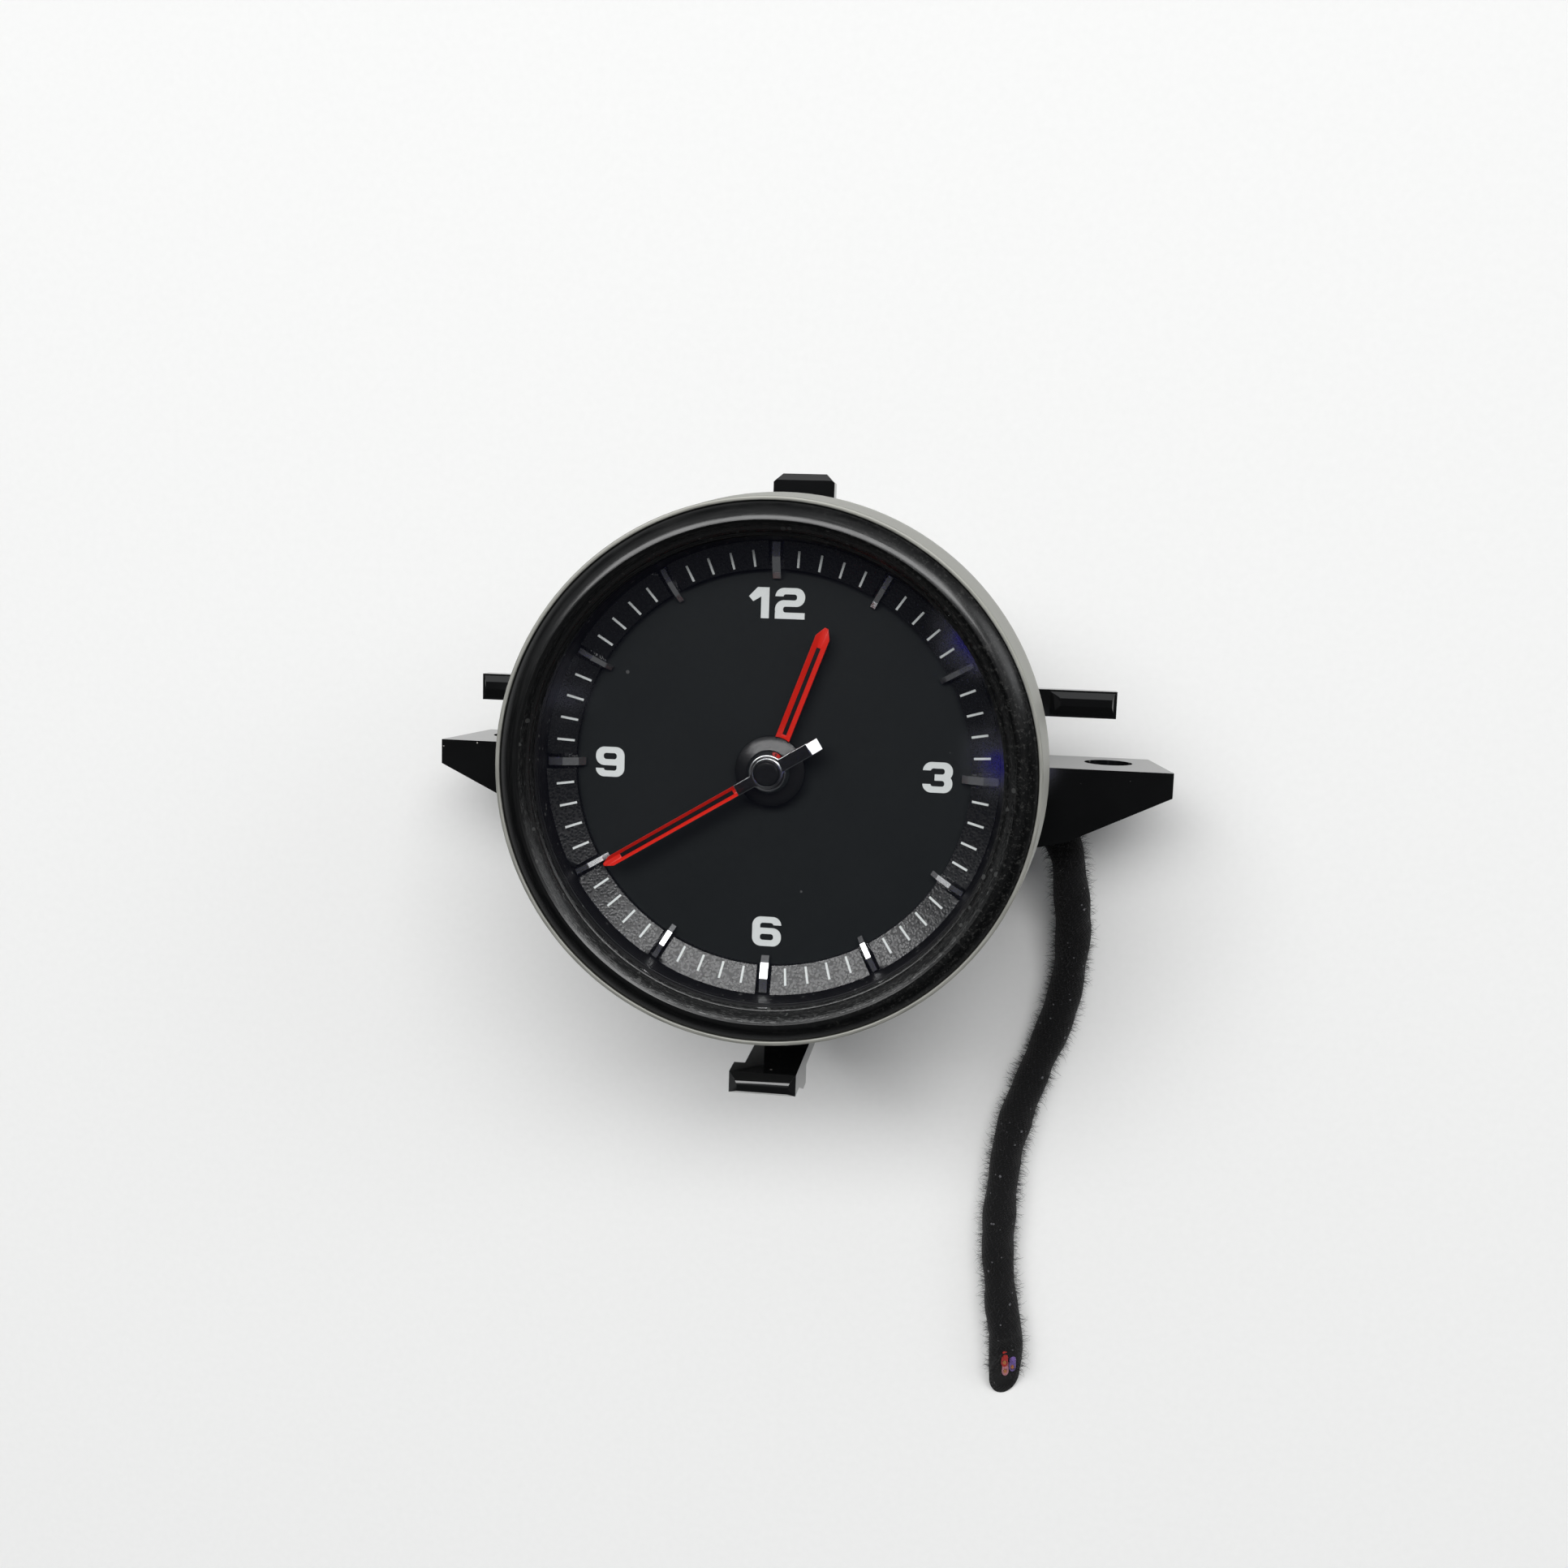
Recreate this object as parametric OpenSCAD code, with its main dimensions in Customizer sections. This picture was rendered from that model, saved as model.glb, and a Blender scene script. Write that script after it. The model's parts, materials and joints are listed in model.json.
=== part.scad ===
// Car dashboard clock lying on its back, dial up.
// Z is the dial's axis, Y points to 12 o'clock and X to 3 o'clock.
// The origin is on the dial's axis in the plane of the back cover's outer face.

/* [Bezel and lens] */
// Outer diameter of the black bezel
bezel_d = 65.6; // [64.8:0.2:66.4]
// Diameter of the sharp crest round the bezel's mouth
crest_d = 60.7; // [60:0.1:61.2]
// Diameter of the clear opening in front of the lens
opening_d = 57.6; // [57.2:0.1:59.4]
// Height of the crest above the lens
crest_h = 1.8; // [1.2:0.1:3]
// Radius of the bezel's rounded outer shoulder
shoulder_r = 2.5; // [1.5:0.1:2.5]
// Thickness of the lens
lens_t = 1.2; // [0.8:0.1:1.6]
// Diameter of the lens and of the rings stacked under it
lens_d = 61.8; // [61.4:0.1:61.9]
// Thickness of the soft seal under the lens
seal_t = 0.6; // [0.4:0.1:1]
// Height of the lens above the dial
lens_gap = 5.4; // [5:0.1:7]

/* [Trim ring] */
// Diameter of the silver trim ring at its rear edge
trim_d = 68.8; // [68.2:0.1:70]
// Height of the trim ring's front above the dial
trim_h = 7.4; // [6:0.1:7.8]
// Straight height of the trim ring's rear edge
trim_edge_h = 0.6; // [0.3:0.1:1]
// Width of the trim ring's flat front lip
trim_lip_w = 0.5; // [0.3:0.1:0.6]

/* [Dial] */
// Height of the dial's face above the back of the clock
dial_h = 44.6; // [41:0.1:48]
// Thickness of the dial
dial_t = 0.5; // [0.3:0.1:1]
// Thickness of the light guide behind the dial
guide_t = 2.1; // [1.5:0.1:3]
// Inner diameter of the sloping chapter ring
ring_in_d = 49.8; // [49:0.1:50.4]
// Outer diameter of the slope of the chapter ring
ring_out_d = 56.6; // [55.4:0.1:56.8]
// Height of the chapter ring's inner edge above the dial
ring_in_h = 0.95; // [0.8:0.05:1.2]
// Height of the chapter ring's outer edge above the dial
ring_out_h = 2.4; // [2:0.05:2.8]
// Thickness of the chapter ring's flange
ring_flange_t = 1.3; // [1:0.1:1.6]
// Width of a minute mark
mark_w = 0.28; // [0.2:0.02:0.6]
// Length of a minute mark
mark_len = 2.2; // [1.6:0.1:2.6]
// Distance of the minute marks from the chapter ring's inner edge
mark_inset = 0.35; // [0.1:0.05:0.5]
// Width of the bars at 12, 3, 6 and 9
long_bar_w = 1; // [0.8:0.1:1.4]
// Width of the other hour bars
short_bar_w = 0.64; // [0.4:0.02:0.8]
// Free space on each side of an hour bar in its slot
bar_gap = 0.45; // [0.2:0.05:0.6]
// Overhang of the hour bars over the dial
bar_overhang = 1.2; // [0.8:0.1:1.4]
// Radius at which the numerals are centred
numeral_r = 20.7; // [19.5:0.1:21.2]
// Width of a numeral
numeral_w = 3.7; // [3:0.1:4]
// Height of a numeral
numeral_h = 3.8; // [3.2:0.1:4.2]
// Width of a numeral's upright strokes
stroke_w = 1; // [0.7:0.05:1.1]
// Thickness of a numeral's level strokes
stroke_h = 0.78; // [0.6:0.02:0.9]

/* [Hands] */
// Minutes past twelve shown by the hands
shown_minutes = 39.7; // [0:0.1:719]
// Length of the hour hand from the axis to its tip
hour_len = 19; // [15:0.5:20]
// Width of the hour hand
hour_w = 1.8; // [1.4:0.1:2.6]
// Diameter of the hour hand's hub disc
hour_hub_d = 8.8; // [7:0.1:10]
// Length of the minute hand from the axis to its tip
minute_len = 24.1; // [20:0.1:24.3]
// Width of the minute hand
minute_w = 1.35; // [1.2:0.05:2]
// Length of the minute hand's tail
tail_len = 7.4; // [5:0.1:9]
// Diameter of the minute hand's boss
boss_d = 4.5; // [4.2:0.1:5.4]
// Diameter of the cap on the boss
cap_d = 3.2; // [2.6:0.1:3.4]
// Width of the dark inlay in each hand
inlay_w = 0.5; // [0.3:0.05:0.7]
// Thickness of the hands' blades
blade_t = 0.8; // [0.6:0.05:0.9]

/* [Housing] */
// Outer diameter of the housing's barrel
barrel_d = 63; // [62.8:0.1:63.2]
// Thickness of the housing's wall
wall_t = 1.8; // [1.5:0.1:2]
// Diameter of the spigot that fits the opening in the dashboard
spigot_d = 64.4; // [63.6:0.1:65]
// Length of the spigot
spigot_len = 12.5; // [8:0.5:13]
// Diameter of the housing's front flange
flange_d = 66.4; // [65.4:0.1:67.6]
// Thickness of the front flange
flange_t = 3.6; // [3:0.1:4]
// Thickness of the back cover
cover_t = 2.5; // [2:0.1:3]
// Span over the ends of the two side wings
wing_span = 104; // [90:1:116]
// Depth of the wings along the dial's axis
wing_depth = 16.5; // [13:0.5:18]
// Height of the wings' rear edge above the back
wing_lift = 3; // [1:0.5:4]
// Thickness of the wings' shelves and webs
wing_t = 1.6; // [1.2:0.1:2]
// Diameter of the screw hole in each wing's shelf
wing_hole_d = 6.8; // [4:0.1:7]
// Span over the two side lugs
lug_span = 86.6; // [74:0.2:92]
// Width of a side lug
lug_w = 3.6; // [2.6:0.1:4.6]
// Height of the lugs' front faces above the back
lug_top = 26.5; // [25:0.5:30]
// Reach of the top tab from the axis
tab_reach = 38; // [35:0.5:41]
// Width of the top tab
tab_w = 8.4; // [6:0.2:10]
// Reach of the lower hook's inner face from the axis
hook_reach = 41.6; // [39:0.2:43]
// Width of the lower hook's head
hook_head_w = 9; // [8:0.2:10.4]

/* [Movement] */
// Height of the space between the movement's plates
plate_gap = 16.5; // [16.5:0.1:17]
// Thickness of the movement's plates
plate_t = 1.5; // [1.2:0.1:1.8]
// Diameter of the centre arbor
arbor_d = 1.8; // [1.6:0.05:1.9]
// Diameter of the hour pipe
pipe_d = 3.6; // [3.4:0.1:3.8]
// Thickness of the gear wheels
wheel_t = 1.2; // [1:0.05:1.3]
// Tooth size of the motion work
motion_module = 0.4; // [0.36:0.01:0.42]
// Tooth size of the centre wheel and third pinion
train_module = 0.35; // [0.32:0.01:0.36]
// Tooth size of the third wheel and rotor pinion
rotor_module = 0.3; // [0.28:0.01:0.32]
// Radial running clearance of shafts in their bores
running = 0.05; // [0.03:0.01:0.08]

/* [Connector and loom] */
// Width of the plug
plug_w = 9.2; // [8.4:0.1:9.6]
// Thickness of the plug
plug_h = 6.2; // [5.8:0.1:6.4]
// Distance of the plug's outer end from the axis
plug_reach = 32; // [31.6:0.1:33]
// Clearance of the plug in its socket
plug_gap = 0.1; // [0.05:0.01:0.2]
// Diameter of the taped loom
cord_d = 5.2; // [4.6:0.1:5.3]
// Diameter of one wire of the loom
wire_d = 1.05; // [0.8:0.05:1.05]
// Length by which the cut wires stand out of the loom's end
wire_len = 0.8; // [0.4:0.1:2]

/* [Hidden] */
$fn = 72;
tiny = 0.01;
cut = 3;

// Heights of the front stack
rim_z = dial_h;
lens_z = dial_h + lens_gap;
lens_top = lens_z + lens_t;
crest_z = lens_top + crest_h;
trim_top = rim_z + trim_h;
guide_z = dial_h - dial_t - guide_t;
stack_r = lens_d/2;
stack_gap = 0.1;
pocket_r = stack_r + stack_gap;
lip_edge = 0.3;
shoulder_steps = 8;

// Chapter ring slope
ring_slope = (ring_out_h - ring_in_h)/((ring_out_d - ring_in_d)/2);
ring_angle = atan(ring_slope);
slot_floor = 0.35;
bar_inner_r = ring_in_d/2 - bar_overhang;
bar_end_gap = 0.15;
bar_outer_r = ring_out_d/2 - bar_end_gap;
bar_rise = 0.35;
bar_nose = 0.8;
nose_drop = 0.7;
bar_facet = 0.6;
print_t = 0.06;
dial_hole_r = 2.8;

// Numerals
corner_r = 1.1;
inner_corner_r = 0.35;
least_flat = 0.1;
terminal_h = 1.05;
open_share = 0.4;
loop_share = 0.62;
half_h = (numeral_h + stroke_h)/2;
one_w = 2.54;
flag_w = 1.08;
flag_share = 0.7;
under_flag_share = 0.54;
pair_gap = 0.75;

// Hands
minute_angle = shown_minutes*6;
hour_angle = shown_minutes/2;
hub_clear = 1;
hour_hub_t = 1.5;
hub_slope = 0.75;
hour_hub_z = dial_h + hub_clear;
boss_clear = 0.3;
boss_t = 1.3;
boss_flank = 0.55;
boss_z = hour_hub_z + hour_hub_t + boss_clear;
boss_top = boss_z + boss_t;
cap_t = 0.8;
cap_ring_t = 0.25;
blade_drop = 0.3;
hour_blade_z = hour_hub_z + blade_drop;
minute_blade_z = boss_z + blade_drop;
blade_root = 4.5;
blade_dip = blade_t*0.5;
inlay_t = blade_t*0.3;
inlay_end = 2.6;
tip_len = 1.2;
tail_w = 1.65;
root_over = 0.1;
root_w = minute_w + root_over;
tail_bevel = 1.4;
tail_drop = 1;
cap_edge = 0.25;
press = 0.01;

// Housing
barrel_r = barrel_d/2;
bore_r = barrel_r - wall_t;
seat_gap = 0.1;
guide_r = bore_r - seat_gap;
ledge_t = 1.5;
ledge_z = guide_z - ledge_t;
ledge_r = 26.6;
joint_r = barrel_r - wall_t/2;
root_in = 1.2;
root_r = joint_r - root_in;
wing_drop = 1;
wing_end_h = 3.5;
wing_knee = [38, 11.3];
wing_root_y = 13.9;
wing_taper = 2;
wing_hole_inset = 8.2;
wing_hole_rise = 6.7;
lug_y = 8.4;
lug_shift = 1;
lug_more = 0.5;
lug_depth = 3.4;
lug_ends = [1.4, 0.4];
lug_sides = [1.3, 0.8];
block_h = 0.8;
block_inset = 0.25;
block_x = 34.5;
tab_top = 21.5;
tab_depth = 2.8;
tab_bevel = 1.2;
tab_slope = 0.9;
hook_right = 3.55;
hook_top = 38.5;
hook_t = 2.2;
hook_w = 7.5;
hook_head_t = 2.9;
hook_head_len = 4.9;
hook_foot_z = 12;
hook_foot_t = 3;
hook_bevel = 0.9;
hook_sides = [0.5, 0.9];
hook_round = [0.7, 0.25];
hook_ends = [1.2, 1];
barb_out = 1.9;
barb_low = 25.7;
barb_tip = 28.5;

// Cover screws
screw_angles = [30, 150, 270];
boss_r = 2.6;
boss_pos = 27.4;
cover_screw_r = 1;
cover_head_r = 1.9;
cover_head_t = 1.4;
recess_len = 2.4;
recess_w = 0.55;
recess_deep = 0.8;
cover_sink = 0.3;
cover_screw_len = 10;
cover_head_gap = 0.2;
cover_head_z = cover_sink + cover_head_t;
cover_screw_top = cover_head_z + cover_screw_len;
cover_rim_t = 1.4;
cover_inset = 0.2;
groove_r = 20;
groove_w = 1.2;
groove_deep = 0.6;

// Movement plates
plate_top = ledge_z;
plate_z = plate_top - plate_t;
back_top = plate_z - plate_gap;
back_z = back_top - plate_t;
back_r = 22.4;
plate_inset = 0.3;
arbor_r = arbor_d/2;
pipe_r = pipe_d/2;
pillar_r = 1.8;
pillar_pos = 20;
pillar_angles = [130, 230, 320];
small_screw_r = 0.75;
small_head_r = 1.5;
small_head_t = 1.2;
pillar_thread = 6;
thread_end = 0.5;
plate_screw_pos = 28;
plate_screw_head_r = 1.3;
plate_screw_bite = 1.3;
hole_floor = 0.1;

// Gear train: tooth form, with heights in modules
backlash = 0.14;
pressure = 22;
flank_steps = 3;
wheel_add = 0.7;
pinion_add = 0.8;
wheel_ded = 1.1;
pinion_ded = 1.2;

// Gear train: windows in the webs, as shares of the pitch radius
window_share = 0.18;
window_pos_share = 0.56;
centre_windows = 5;
hour_windows = 4;

// Gear train: teeth
cannon_n = 10;
minute_wheel_n = 30;
minute_pinion_n = 8;
hour_wheel_n = 32;
centre_n = 48;
third_pinion_n = 8;
third_n = 40;
rotor_pinion_n = 8;
motion_dist = (cannon_n + minute_wheel_n)/2*motion_module;
third_dist = (centre_n + third_pinion_n)/2*train_module;
rotor_dist = (third_n + rotor_pinion_n)/2*rotor_module;
motion_dir = 270;
third_dir = 90;
rotor_dir = 0;
motion_xy = motion_dist*[cos(motion_dir), sin(motion_dir)];
third_xy = third_dist*[cos(third_dir), sin(third_dir)];
rotor_xy = third_xy + rotor_dist*[cos(rotor_dir), sin(rotor_dir)];

// Gear train: heights below the front plate
top_gap = 1.1;
layer_gap = 1.4;
pinion_gap = 1.3;
cannon_over = 0.4;
third_over = 0.5;
rotor_over = 0.6;
hour_wheel_z = plate_z - top_gap - wheel_t;
minute_wheel_z = hour_wheel_z - layer_gap - wheel_t;
cannon_z = minute_wheel_z - cannon_over;
cannon_t = wheel_t + 2*cannon_over;
centre_wheel_z = minute_wheel_z - layer_gap - wheel_t;
third_wheel_z = centre_wheel_z - pinion_gap - wheel_t;
third_pinion_z = third_wheel_z + wheel_t;
third_pinion_t = centre_wheel_z + wheel_t + third_over - third_pinion_z;
rotor_pinion_z = third_wheel_z - rotor_over;
rotor_pinion_t = wheel_t + 2*rotor_over;
third_arbor_r = 0.6;
rotor_arbor_r = 0.5;
stud_r = 0.8;
stud_collar_r = 1.5;
stud_collar_t = 0.4;
collar_gap = 0.6;
stud_z = minute_wheel_z - collar_gap - stud_collar_t;

// Motor
stator_t = 1.2;
stator_lift = 2.5;
stator_z = back_top + stator_lift;
stator_gap = 0.5;
stator_half_w = 3.6;
stator_half_len = 8.2;
stator_tab = 2.6;
magnet_r = 2.6;
magnet_t = 2.4;
coil_offset = 7.3;
core_w = 2.6;
bobbin_wall = 0.3;
bobbin_flange_t = 0.8;
bobbin_flange_r = 2.75;
coil_r = 2.5;
core_half_len = stator_half_len - stator_tab;
bobbin_r = norm([core_w, stator_t])/2 + bobbin_wall;
stator_post_r = 1.3;

// Connector
plug_dir = -14;
socket_wall = 0.8;
socket_half_w = plug_w/2 + plug_gap + socket_wall;
socket_half_h = plug_h/2 + plug_gap + socket_wall;
socket_lift = 0.6;
plug_z = cover_t + cover_rim_t + socket_lift + socket_half_h;
socket_top = plug_z + socket_half_h;
plug_in = 22;
socket_back = 3.5;
socket_inset = 1;
socket_mouth = barrel_r - socket_inset;
window_gap = 0.2;
pin_w = 0.8;
pin_pitch = 2;
pin_out = 27;
pin_root = 19;
channel_w = 1.8;
channel_gap = 0.05;
terminal_len = 6;
terminal_set = 0.5;
channel_end = 2;
pin_stand = 0.3;

// Board and light legs
board_t = 1.6;
board_room = back_z - board_t - socket_top;
post_share = 0.49;
board_z = socket_top + board_room*(1 - post_share);
board_top = board_z + board_t;
board_inset = 0.8;
board_r = bore_r - board_inset;
leg_r = 1.8;
leg_pos = 24.6;
leg_angles = [90, 210, 330];
lamp_w = 3;
lamp_t = 1.6;
lamp_gap = 0.2;
leg_gap = 0.3;

// Parts soldered under the board
chip_xy = [-7, -11.5];
chip_size = [6, 5, 1.6];
crystal_xy = [6, -12];
crystal_r = 1;
crystal_len = 6;
capacitor_xy = [-10, 8];
capacitor_r = 4;
capacitor_h = 9;
resistor_count = 4;
resistor_xy = [-16, -6];
resistor_pitch = 4;
resistor_size = [2, 1.25, 0.6];

// Loom route: a round bend out of the plug, then along the floor
cord_r = cord_d/2;
cord_sides = 10;
cord_stub = 0.6;
bend_r = 10;
bend_turn = 64;
bend_steps = 6;
bend_drop = 0.9;
cord_points = [
  [39.5, -19.2, 6.9], [40.1, -22.8, 6], [40.5, -27, 5], [40.4, -32, 3.9], [39.6, -38, 3.1],
  [38, -44, 2.8], [36.2, -49, 2.7], [34.6, -53.5, 2.7], [33.4, -58, 2.7], [32.5, -63, 2.7],
  [32, -69, 2.7], [31.8, -75, 2.7], [32.1, -81, 2.7], [32.9, -87.5, 2.7], [33.9, -93.4, 2.7],
  [33.9, -98.7, 2.7]
];
end_slant = 1.85;
plug_way = [cos(plug_dir), sin(plug_dir), 0];
bend_way = [sin(plug_dir), -cos(plug_dir), 0];
plug_end = plug_reach*plug_way + [0, 0, plug_z];
function bend_point(f) =
  plug_end + cord_stub*plug_way - [0, 0, bend_drop*f*f]
  + bend_r*(sin(f*bend_turn)*plug_way + (1 - cos(f*bend_turn))*bend_way);
cord_route = concat(
  [plug_end], [for (i = [0:bend_steps]) bend_point(i/bend_steps)], cord_points
);
wire_places = [[-0.1, 1.85], [1.15, 1.4], [0.1, 0.8]];

// Helpers
module disc(r, z0, z1) {
  translate([0, 0, z0]) cylinder(r = r, h = z1 - z0);
}

module tube(r_out, r_in, z0, z1) {
  difference() {
    disc(r_out, z0, z1);
    disc(r_in, z0 - 1, z1 + 1);
  }
}

module at_angles(angles, r) {
  for (a = angles) rotate(a) translate([r, 0, 0]) children();
}

module box(x0, x1, y0, y1, z0, z1) {
  translate([x0, y0, z0]) cube([x1 - x0, y1 - y0, z1 - z0]);
}

// Clock angles run clockwise from 12 o'clock
module at_clock(angle) {
  rotate(-angle) children();
}

// Involute tooth flank: half angle of a tooth at radius r
function involute(a) = tan(a)*180/PI - a;
function half_tooth(n, rp, r) =
  let (rb = rp*cos(pressure), q = max(r, rb))
  90/n*(1 - backlash) + involute(pressure) - involute(acos(rb/q));
function gear_points(n, m, add, ded) =
  let (rp = n*m/2, r0 = rp - ded*m, r1 = rp + add*m)
  [for (i = [0:n - 1], s = [-1, 1], k = [0:flank_steps])
    let (f = s < 0 ? k/flank_steps : 1 - k/flank_steps, r = r0 + (r1 - r0)*f)
    r*[cos(i*360/n + s*half_tooth(n, rp, r)), sin(i*360/n + s*half_tooth(n, rp, r))]];

module gear(n, m, add, ded, bore, z, t, turn) {
  translate([0, 0, z]) rotate(turn) difference() {
    linear_extrude(t) polygon(gear_points(n, m, add, ded));
    translate([0, 0, -1]) cylinder(r = bore, h = t + 2);
  }
}

// Round holes that lighten a wheel's web
module wheel_windows(count, pitch_r, z, t) {
  for (i = [0:count - 1])
    rotate(i*360/count) translate([pitch_r*window_pos_share, 0, z - 1])
      cylinder(r = pitch_r*window_share, h = t + 2);
}

// Front parts
module bezel() {
  r_out = bezel_d/2;
  color("#161718") rotate_extrude() polygon(concat(
    [[pocket_r, rim_z], [r_out, rim_z]],
    [for (i = [0:shoulder_steps])
      let (a = 90*i/shoulder_steps)
      [r_out - shoulder_r + shoulder_r*cos(a), crest_z - shoulder_r + shoulder_r*sin(a)]],
    [[crest_d/2, crest_z], [opening_d/2, lens_top + lip_edge], [opening_d/2, lens_top],
     [pocket_r, lens_top]]));
}

// A tapering sleeve that stands on the flange and hides its edge
module trim_ring() {
  r_in = bezel_d/2 + stack_gap;
  r_flange = max(flange_d/2 + stack_gap, r_in);
  z0 = rim_z - flange_t;
  color("#b9b9b3") rotate_extrude() polygon([
    [r_flange, z0], [trim_d/2, z0], [trim_d/2, z0 + trim_edge_h],
    [r_in + trim_lip_w, trim_top], [r_in, trim_top], [r_in, rim_z], [r_flange, rim_z]
  ]);
}

module lens() {
  color("#cfe0e6", 0.3) disc(stack_r, lens_z, lens_top);
}

module lens_seal() {
  color("#202020") tube(stack_r, opening_d/2 + stack_gap, lens_z - seal_t, lens_z);
}

module spacer_ring() {
  foot_r = ring_out_d/2 + stack_gap;
  mid_r = (foot_r + opening_d/2)/2;
  z0 = dial_h + ring_flange_t;
  z1 = dial_h + ring_out_h;
  z2 = lens_z - seal_t;
  z_mid = (z1 + z2)/2;
  color("#1b1c1d") rotate_extrude() polygon([
    [foot_r, z0], [stack_r, z0], [stack_r, z2], [opening_d/2, z2], [mid_r, z_mid + lip_edge],
    [mid_r, z_mid], [foot_r, z1]
  ]);
}

module chapter_ring() {
  r0 = ring_in_d/2;
  r1 = ring_out_d/2;
  color("#3b3d3f") difference() {
    rotate_extrude() polygon([
      [r0, dial_h], [stack_r, dial_h], [stack_r, dial_h + ring_flange_t],
      [r1, dial_h + ring_flange_t], [r1, dial_h + ring_out_h], [r0, dial_h + ring_in_h]
    ]);
    for (h = [0:11]) at_clock(h*30) bar_slot(h%3 == 0 ? long_bar_w : short_bar_w);
  }
}

module bar_slot(w) {
  half = w/2 + bar_gap;
  box(-half, half, ring_in_d/2 - 1, ring_out_d/2, dial_h + slot_floor, dial_h + ring_out_h + 1);
}

module minute_marks() {
  r_mid = ring_in_d/2 + (mark_inset + mark_len/2)*cos(ring_angle);
  z_mid = dial_h + ring_in_h + (r_mid - ring_in_d/2)*ring_slope;
  color("#f2f2ee") for (m = [0:59]) if (m%5 != 0)
    at_clock(m*6) translate([0, r_mid, z_mid]) rotate([ring_angle, 0, 0])
      translate([-mark_w/2, -mark_len/2, 0]) cube([mark_w, mark_len, print_t]);
}

module hour_bar(w) {
  z0 = dial_h + slot_floor;
  z_in = dial_h + ring_in_h + bar_rise - bar_overhang*ring_slope;
  r_edge = bar_inner_r + (bar_outer_r - bar_inner_r)*bar_facet;
  z_edge = z_in + (r_edge - bar_inner_r)*ring_slope;
  z_nose = z_in + bar_nose*ring_slope;
  z_out = dial_h + ring_out_h;
  translate([w/2, 0, 0]) rotate([90, 0, -90]) mirror([1, 0, 0]) linear_extrude(w) polygon([
    [bar_inner_r, z0], [bar_outer_r, z0], [bar_outer_r, z_out - bar_rise], [r_edge, z_edge],
    [bar_inner_r + bar_nose, z_nose], [bar_inner_r, z_nose - nose_drop]
  ]);
}

module hour_bars() {
  color("#c9cacb") for (h = [0:11])
    at_clock(h*30) hour_bar(h%3 == 0 ? long_bar_w : short_bar_w);
}

module dial() {
  color("#2a2c2d") tube(guide_r, dial_hole_r, dial_h - dial_t, dial_h);
}

// Numerals drawn with level and upright strokes and round corners
module rounded(w, h, round_r) {
  r = min(round_r, (h - least_flat)/2, (w - least_flat)/2);
  translate([r, 0]) square([w - 2*r, h]);
  translate([0, r]) square([w, h - 2*r]);
  for (x = [r, w - r], y = [r, h - r]) translate([x, y]) circle(r);
}

module stroke_loop(w, h) {
  difference() {
    rounded(w, h, corner_r);
    translate([stroke_w, stroke_h]) rounded(w - 2*stroke_w, h - 2*stroke_h, inner_corner_r);
  }
}

// The top or bottom half of a digit: a loop with part of one upright taken away
module half_loop(keep_left, keep_end) {
  x0 = keep_left ? numeral_w/2 : -1;
  x1 = keep_left ? numeral_w + 1 : numeral_w*open_share;
  difference() {
    stroke_loop(numeral_w, half_h);
    translate([x0, keep_left ? stroke_h : -1])
      square([x1 - x0, keep_left ? half_h : half_h + 1 - keep_end]);
  }
}

module digit_one() {
  stem_x = one_w - stroke_w;
  polygon([
    [0, numeral_h*flag_share], [flag_w, numeral_h], [one_w, numeral_h], [one_w, 0], [stem_x, 0],
    [stem_x, numeral_h*flag_share], [flag_w/2, numeral_h*under_flag_share]
  ]);
}

module digit_two() {
  translate([0, numeral_h - half_h]) half_loop(false, terminal_h);
  half_loop(true, 0);
  square([numeral_w, stroke_h]);
}

module digit_three() {
  translate([0, numeral_h - half_h]) half_loop(false, terminal_h);
  translate([0, half_h]) mirror([0, 1]) half_loop(false, terminal_h);
}

module digit_nine() {
  loop_h = numeral_h*loop_share;
  translate([0, numeral_h - loop_h]) stroke_loop(numeral_w, loop_h);
  difference() {
    stroke_loop(numeral_w, numeral_h);
    translate([-1, terminal_h]) square([1 + numeral_w/2, numeral_h - loop_h/2 - terminal_h]);
  }
}

module digit_six() {
  translate([numeral_w, numeral_h]) rotate(180) digit_nine();
}

module numerals() {
  pair_w = one_w + pair_gap + numeral_w;
  half = [numeral_w/2, numeral_h/2];
  color("#d9dcda") translate([0, 0, dial_h]) linear_extrude(print_t) {
    translate([-pair_w/2, numeral_r - half.y]) digit_one();
    translate([-pair_w/2 + one_w + pair_gap, numeral_r - half.y]) digit_two();
    translate([numeral_r - half.x, -half.y]) digit_three();
    translate([-half.x, -numeral_r - half.y]) digit_six();
    translate([-numeral_r - half.x, -half.y]) digit_nine();
  }
}

module light_guide() {
  color("#e8ecea", 0.6) {
    tube(guide_r, dial_hole_r, guide_z, guide_z + guide_t);
    at_angles(leg_angles, leg_pos) disc(leg_r, board_top + lamp_t + lamp_gap, guide_z + tiny);
  }
}

module lamps() {
  color("#f4f1dc") at_angles(leg_angles, leg_pos)
    box(-lamp_w/2, lamp_w/2, -lamp_w/2, lamp_w/2, board_top, board_top + lamp_t);
}

// Hands: a blade with a shallow valley down its front, pointing to 12 before it is turned
module blade(len, w, root, z) {
  floor_z = blade_t - blade_dip;
  intersection() {
    translate([0, 0, z]) linear_extrude(blade_t) polygon([
      [-w/2, root], [w/2, root], [w/2, len - tip_len], [w/8, len], [-w/8, len],
      [-w/2, len - tip_len]
    ]);
    translate([0, len, z]) rotate([90, 0, 0]) linear_extrude(len) polygon([
      [-w/2, 0], [w/2, 0], [w/2, blade_t], [inlay_w/2, floor_z], [-inlay_w/2, floor_z],
      [-w/2, blade_t]
    ]);
  }
}

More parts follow.
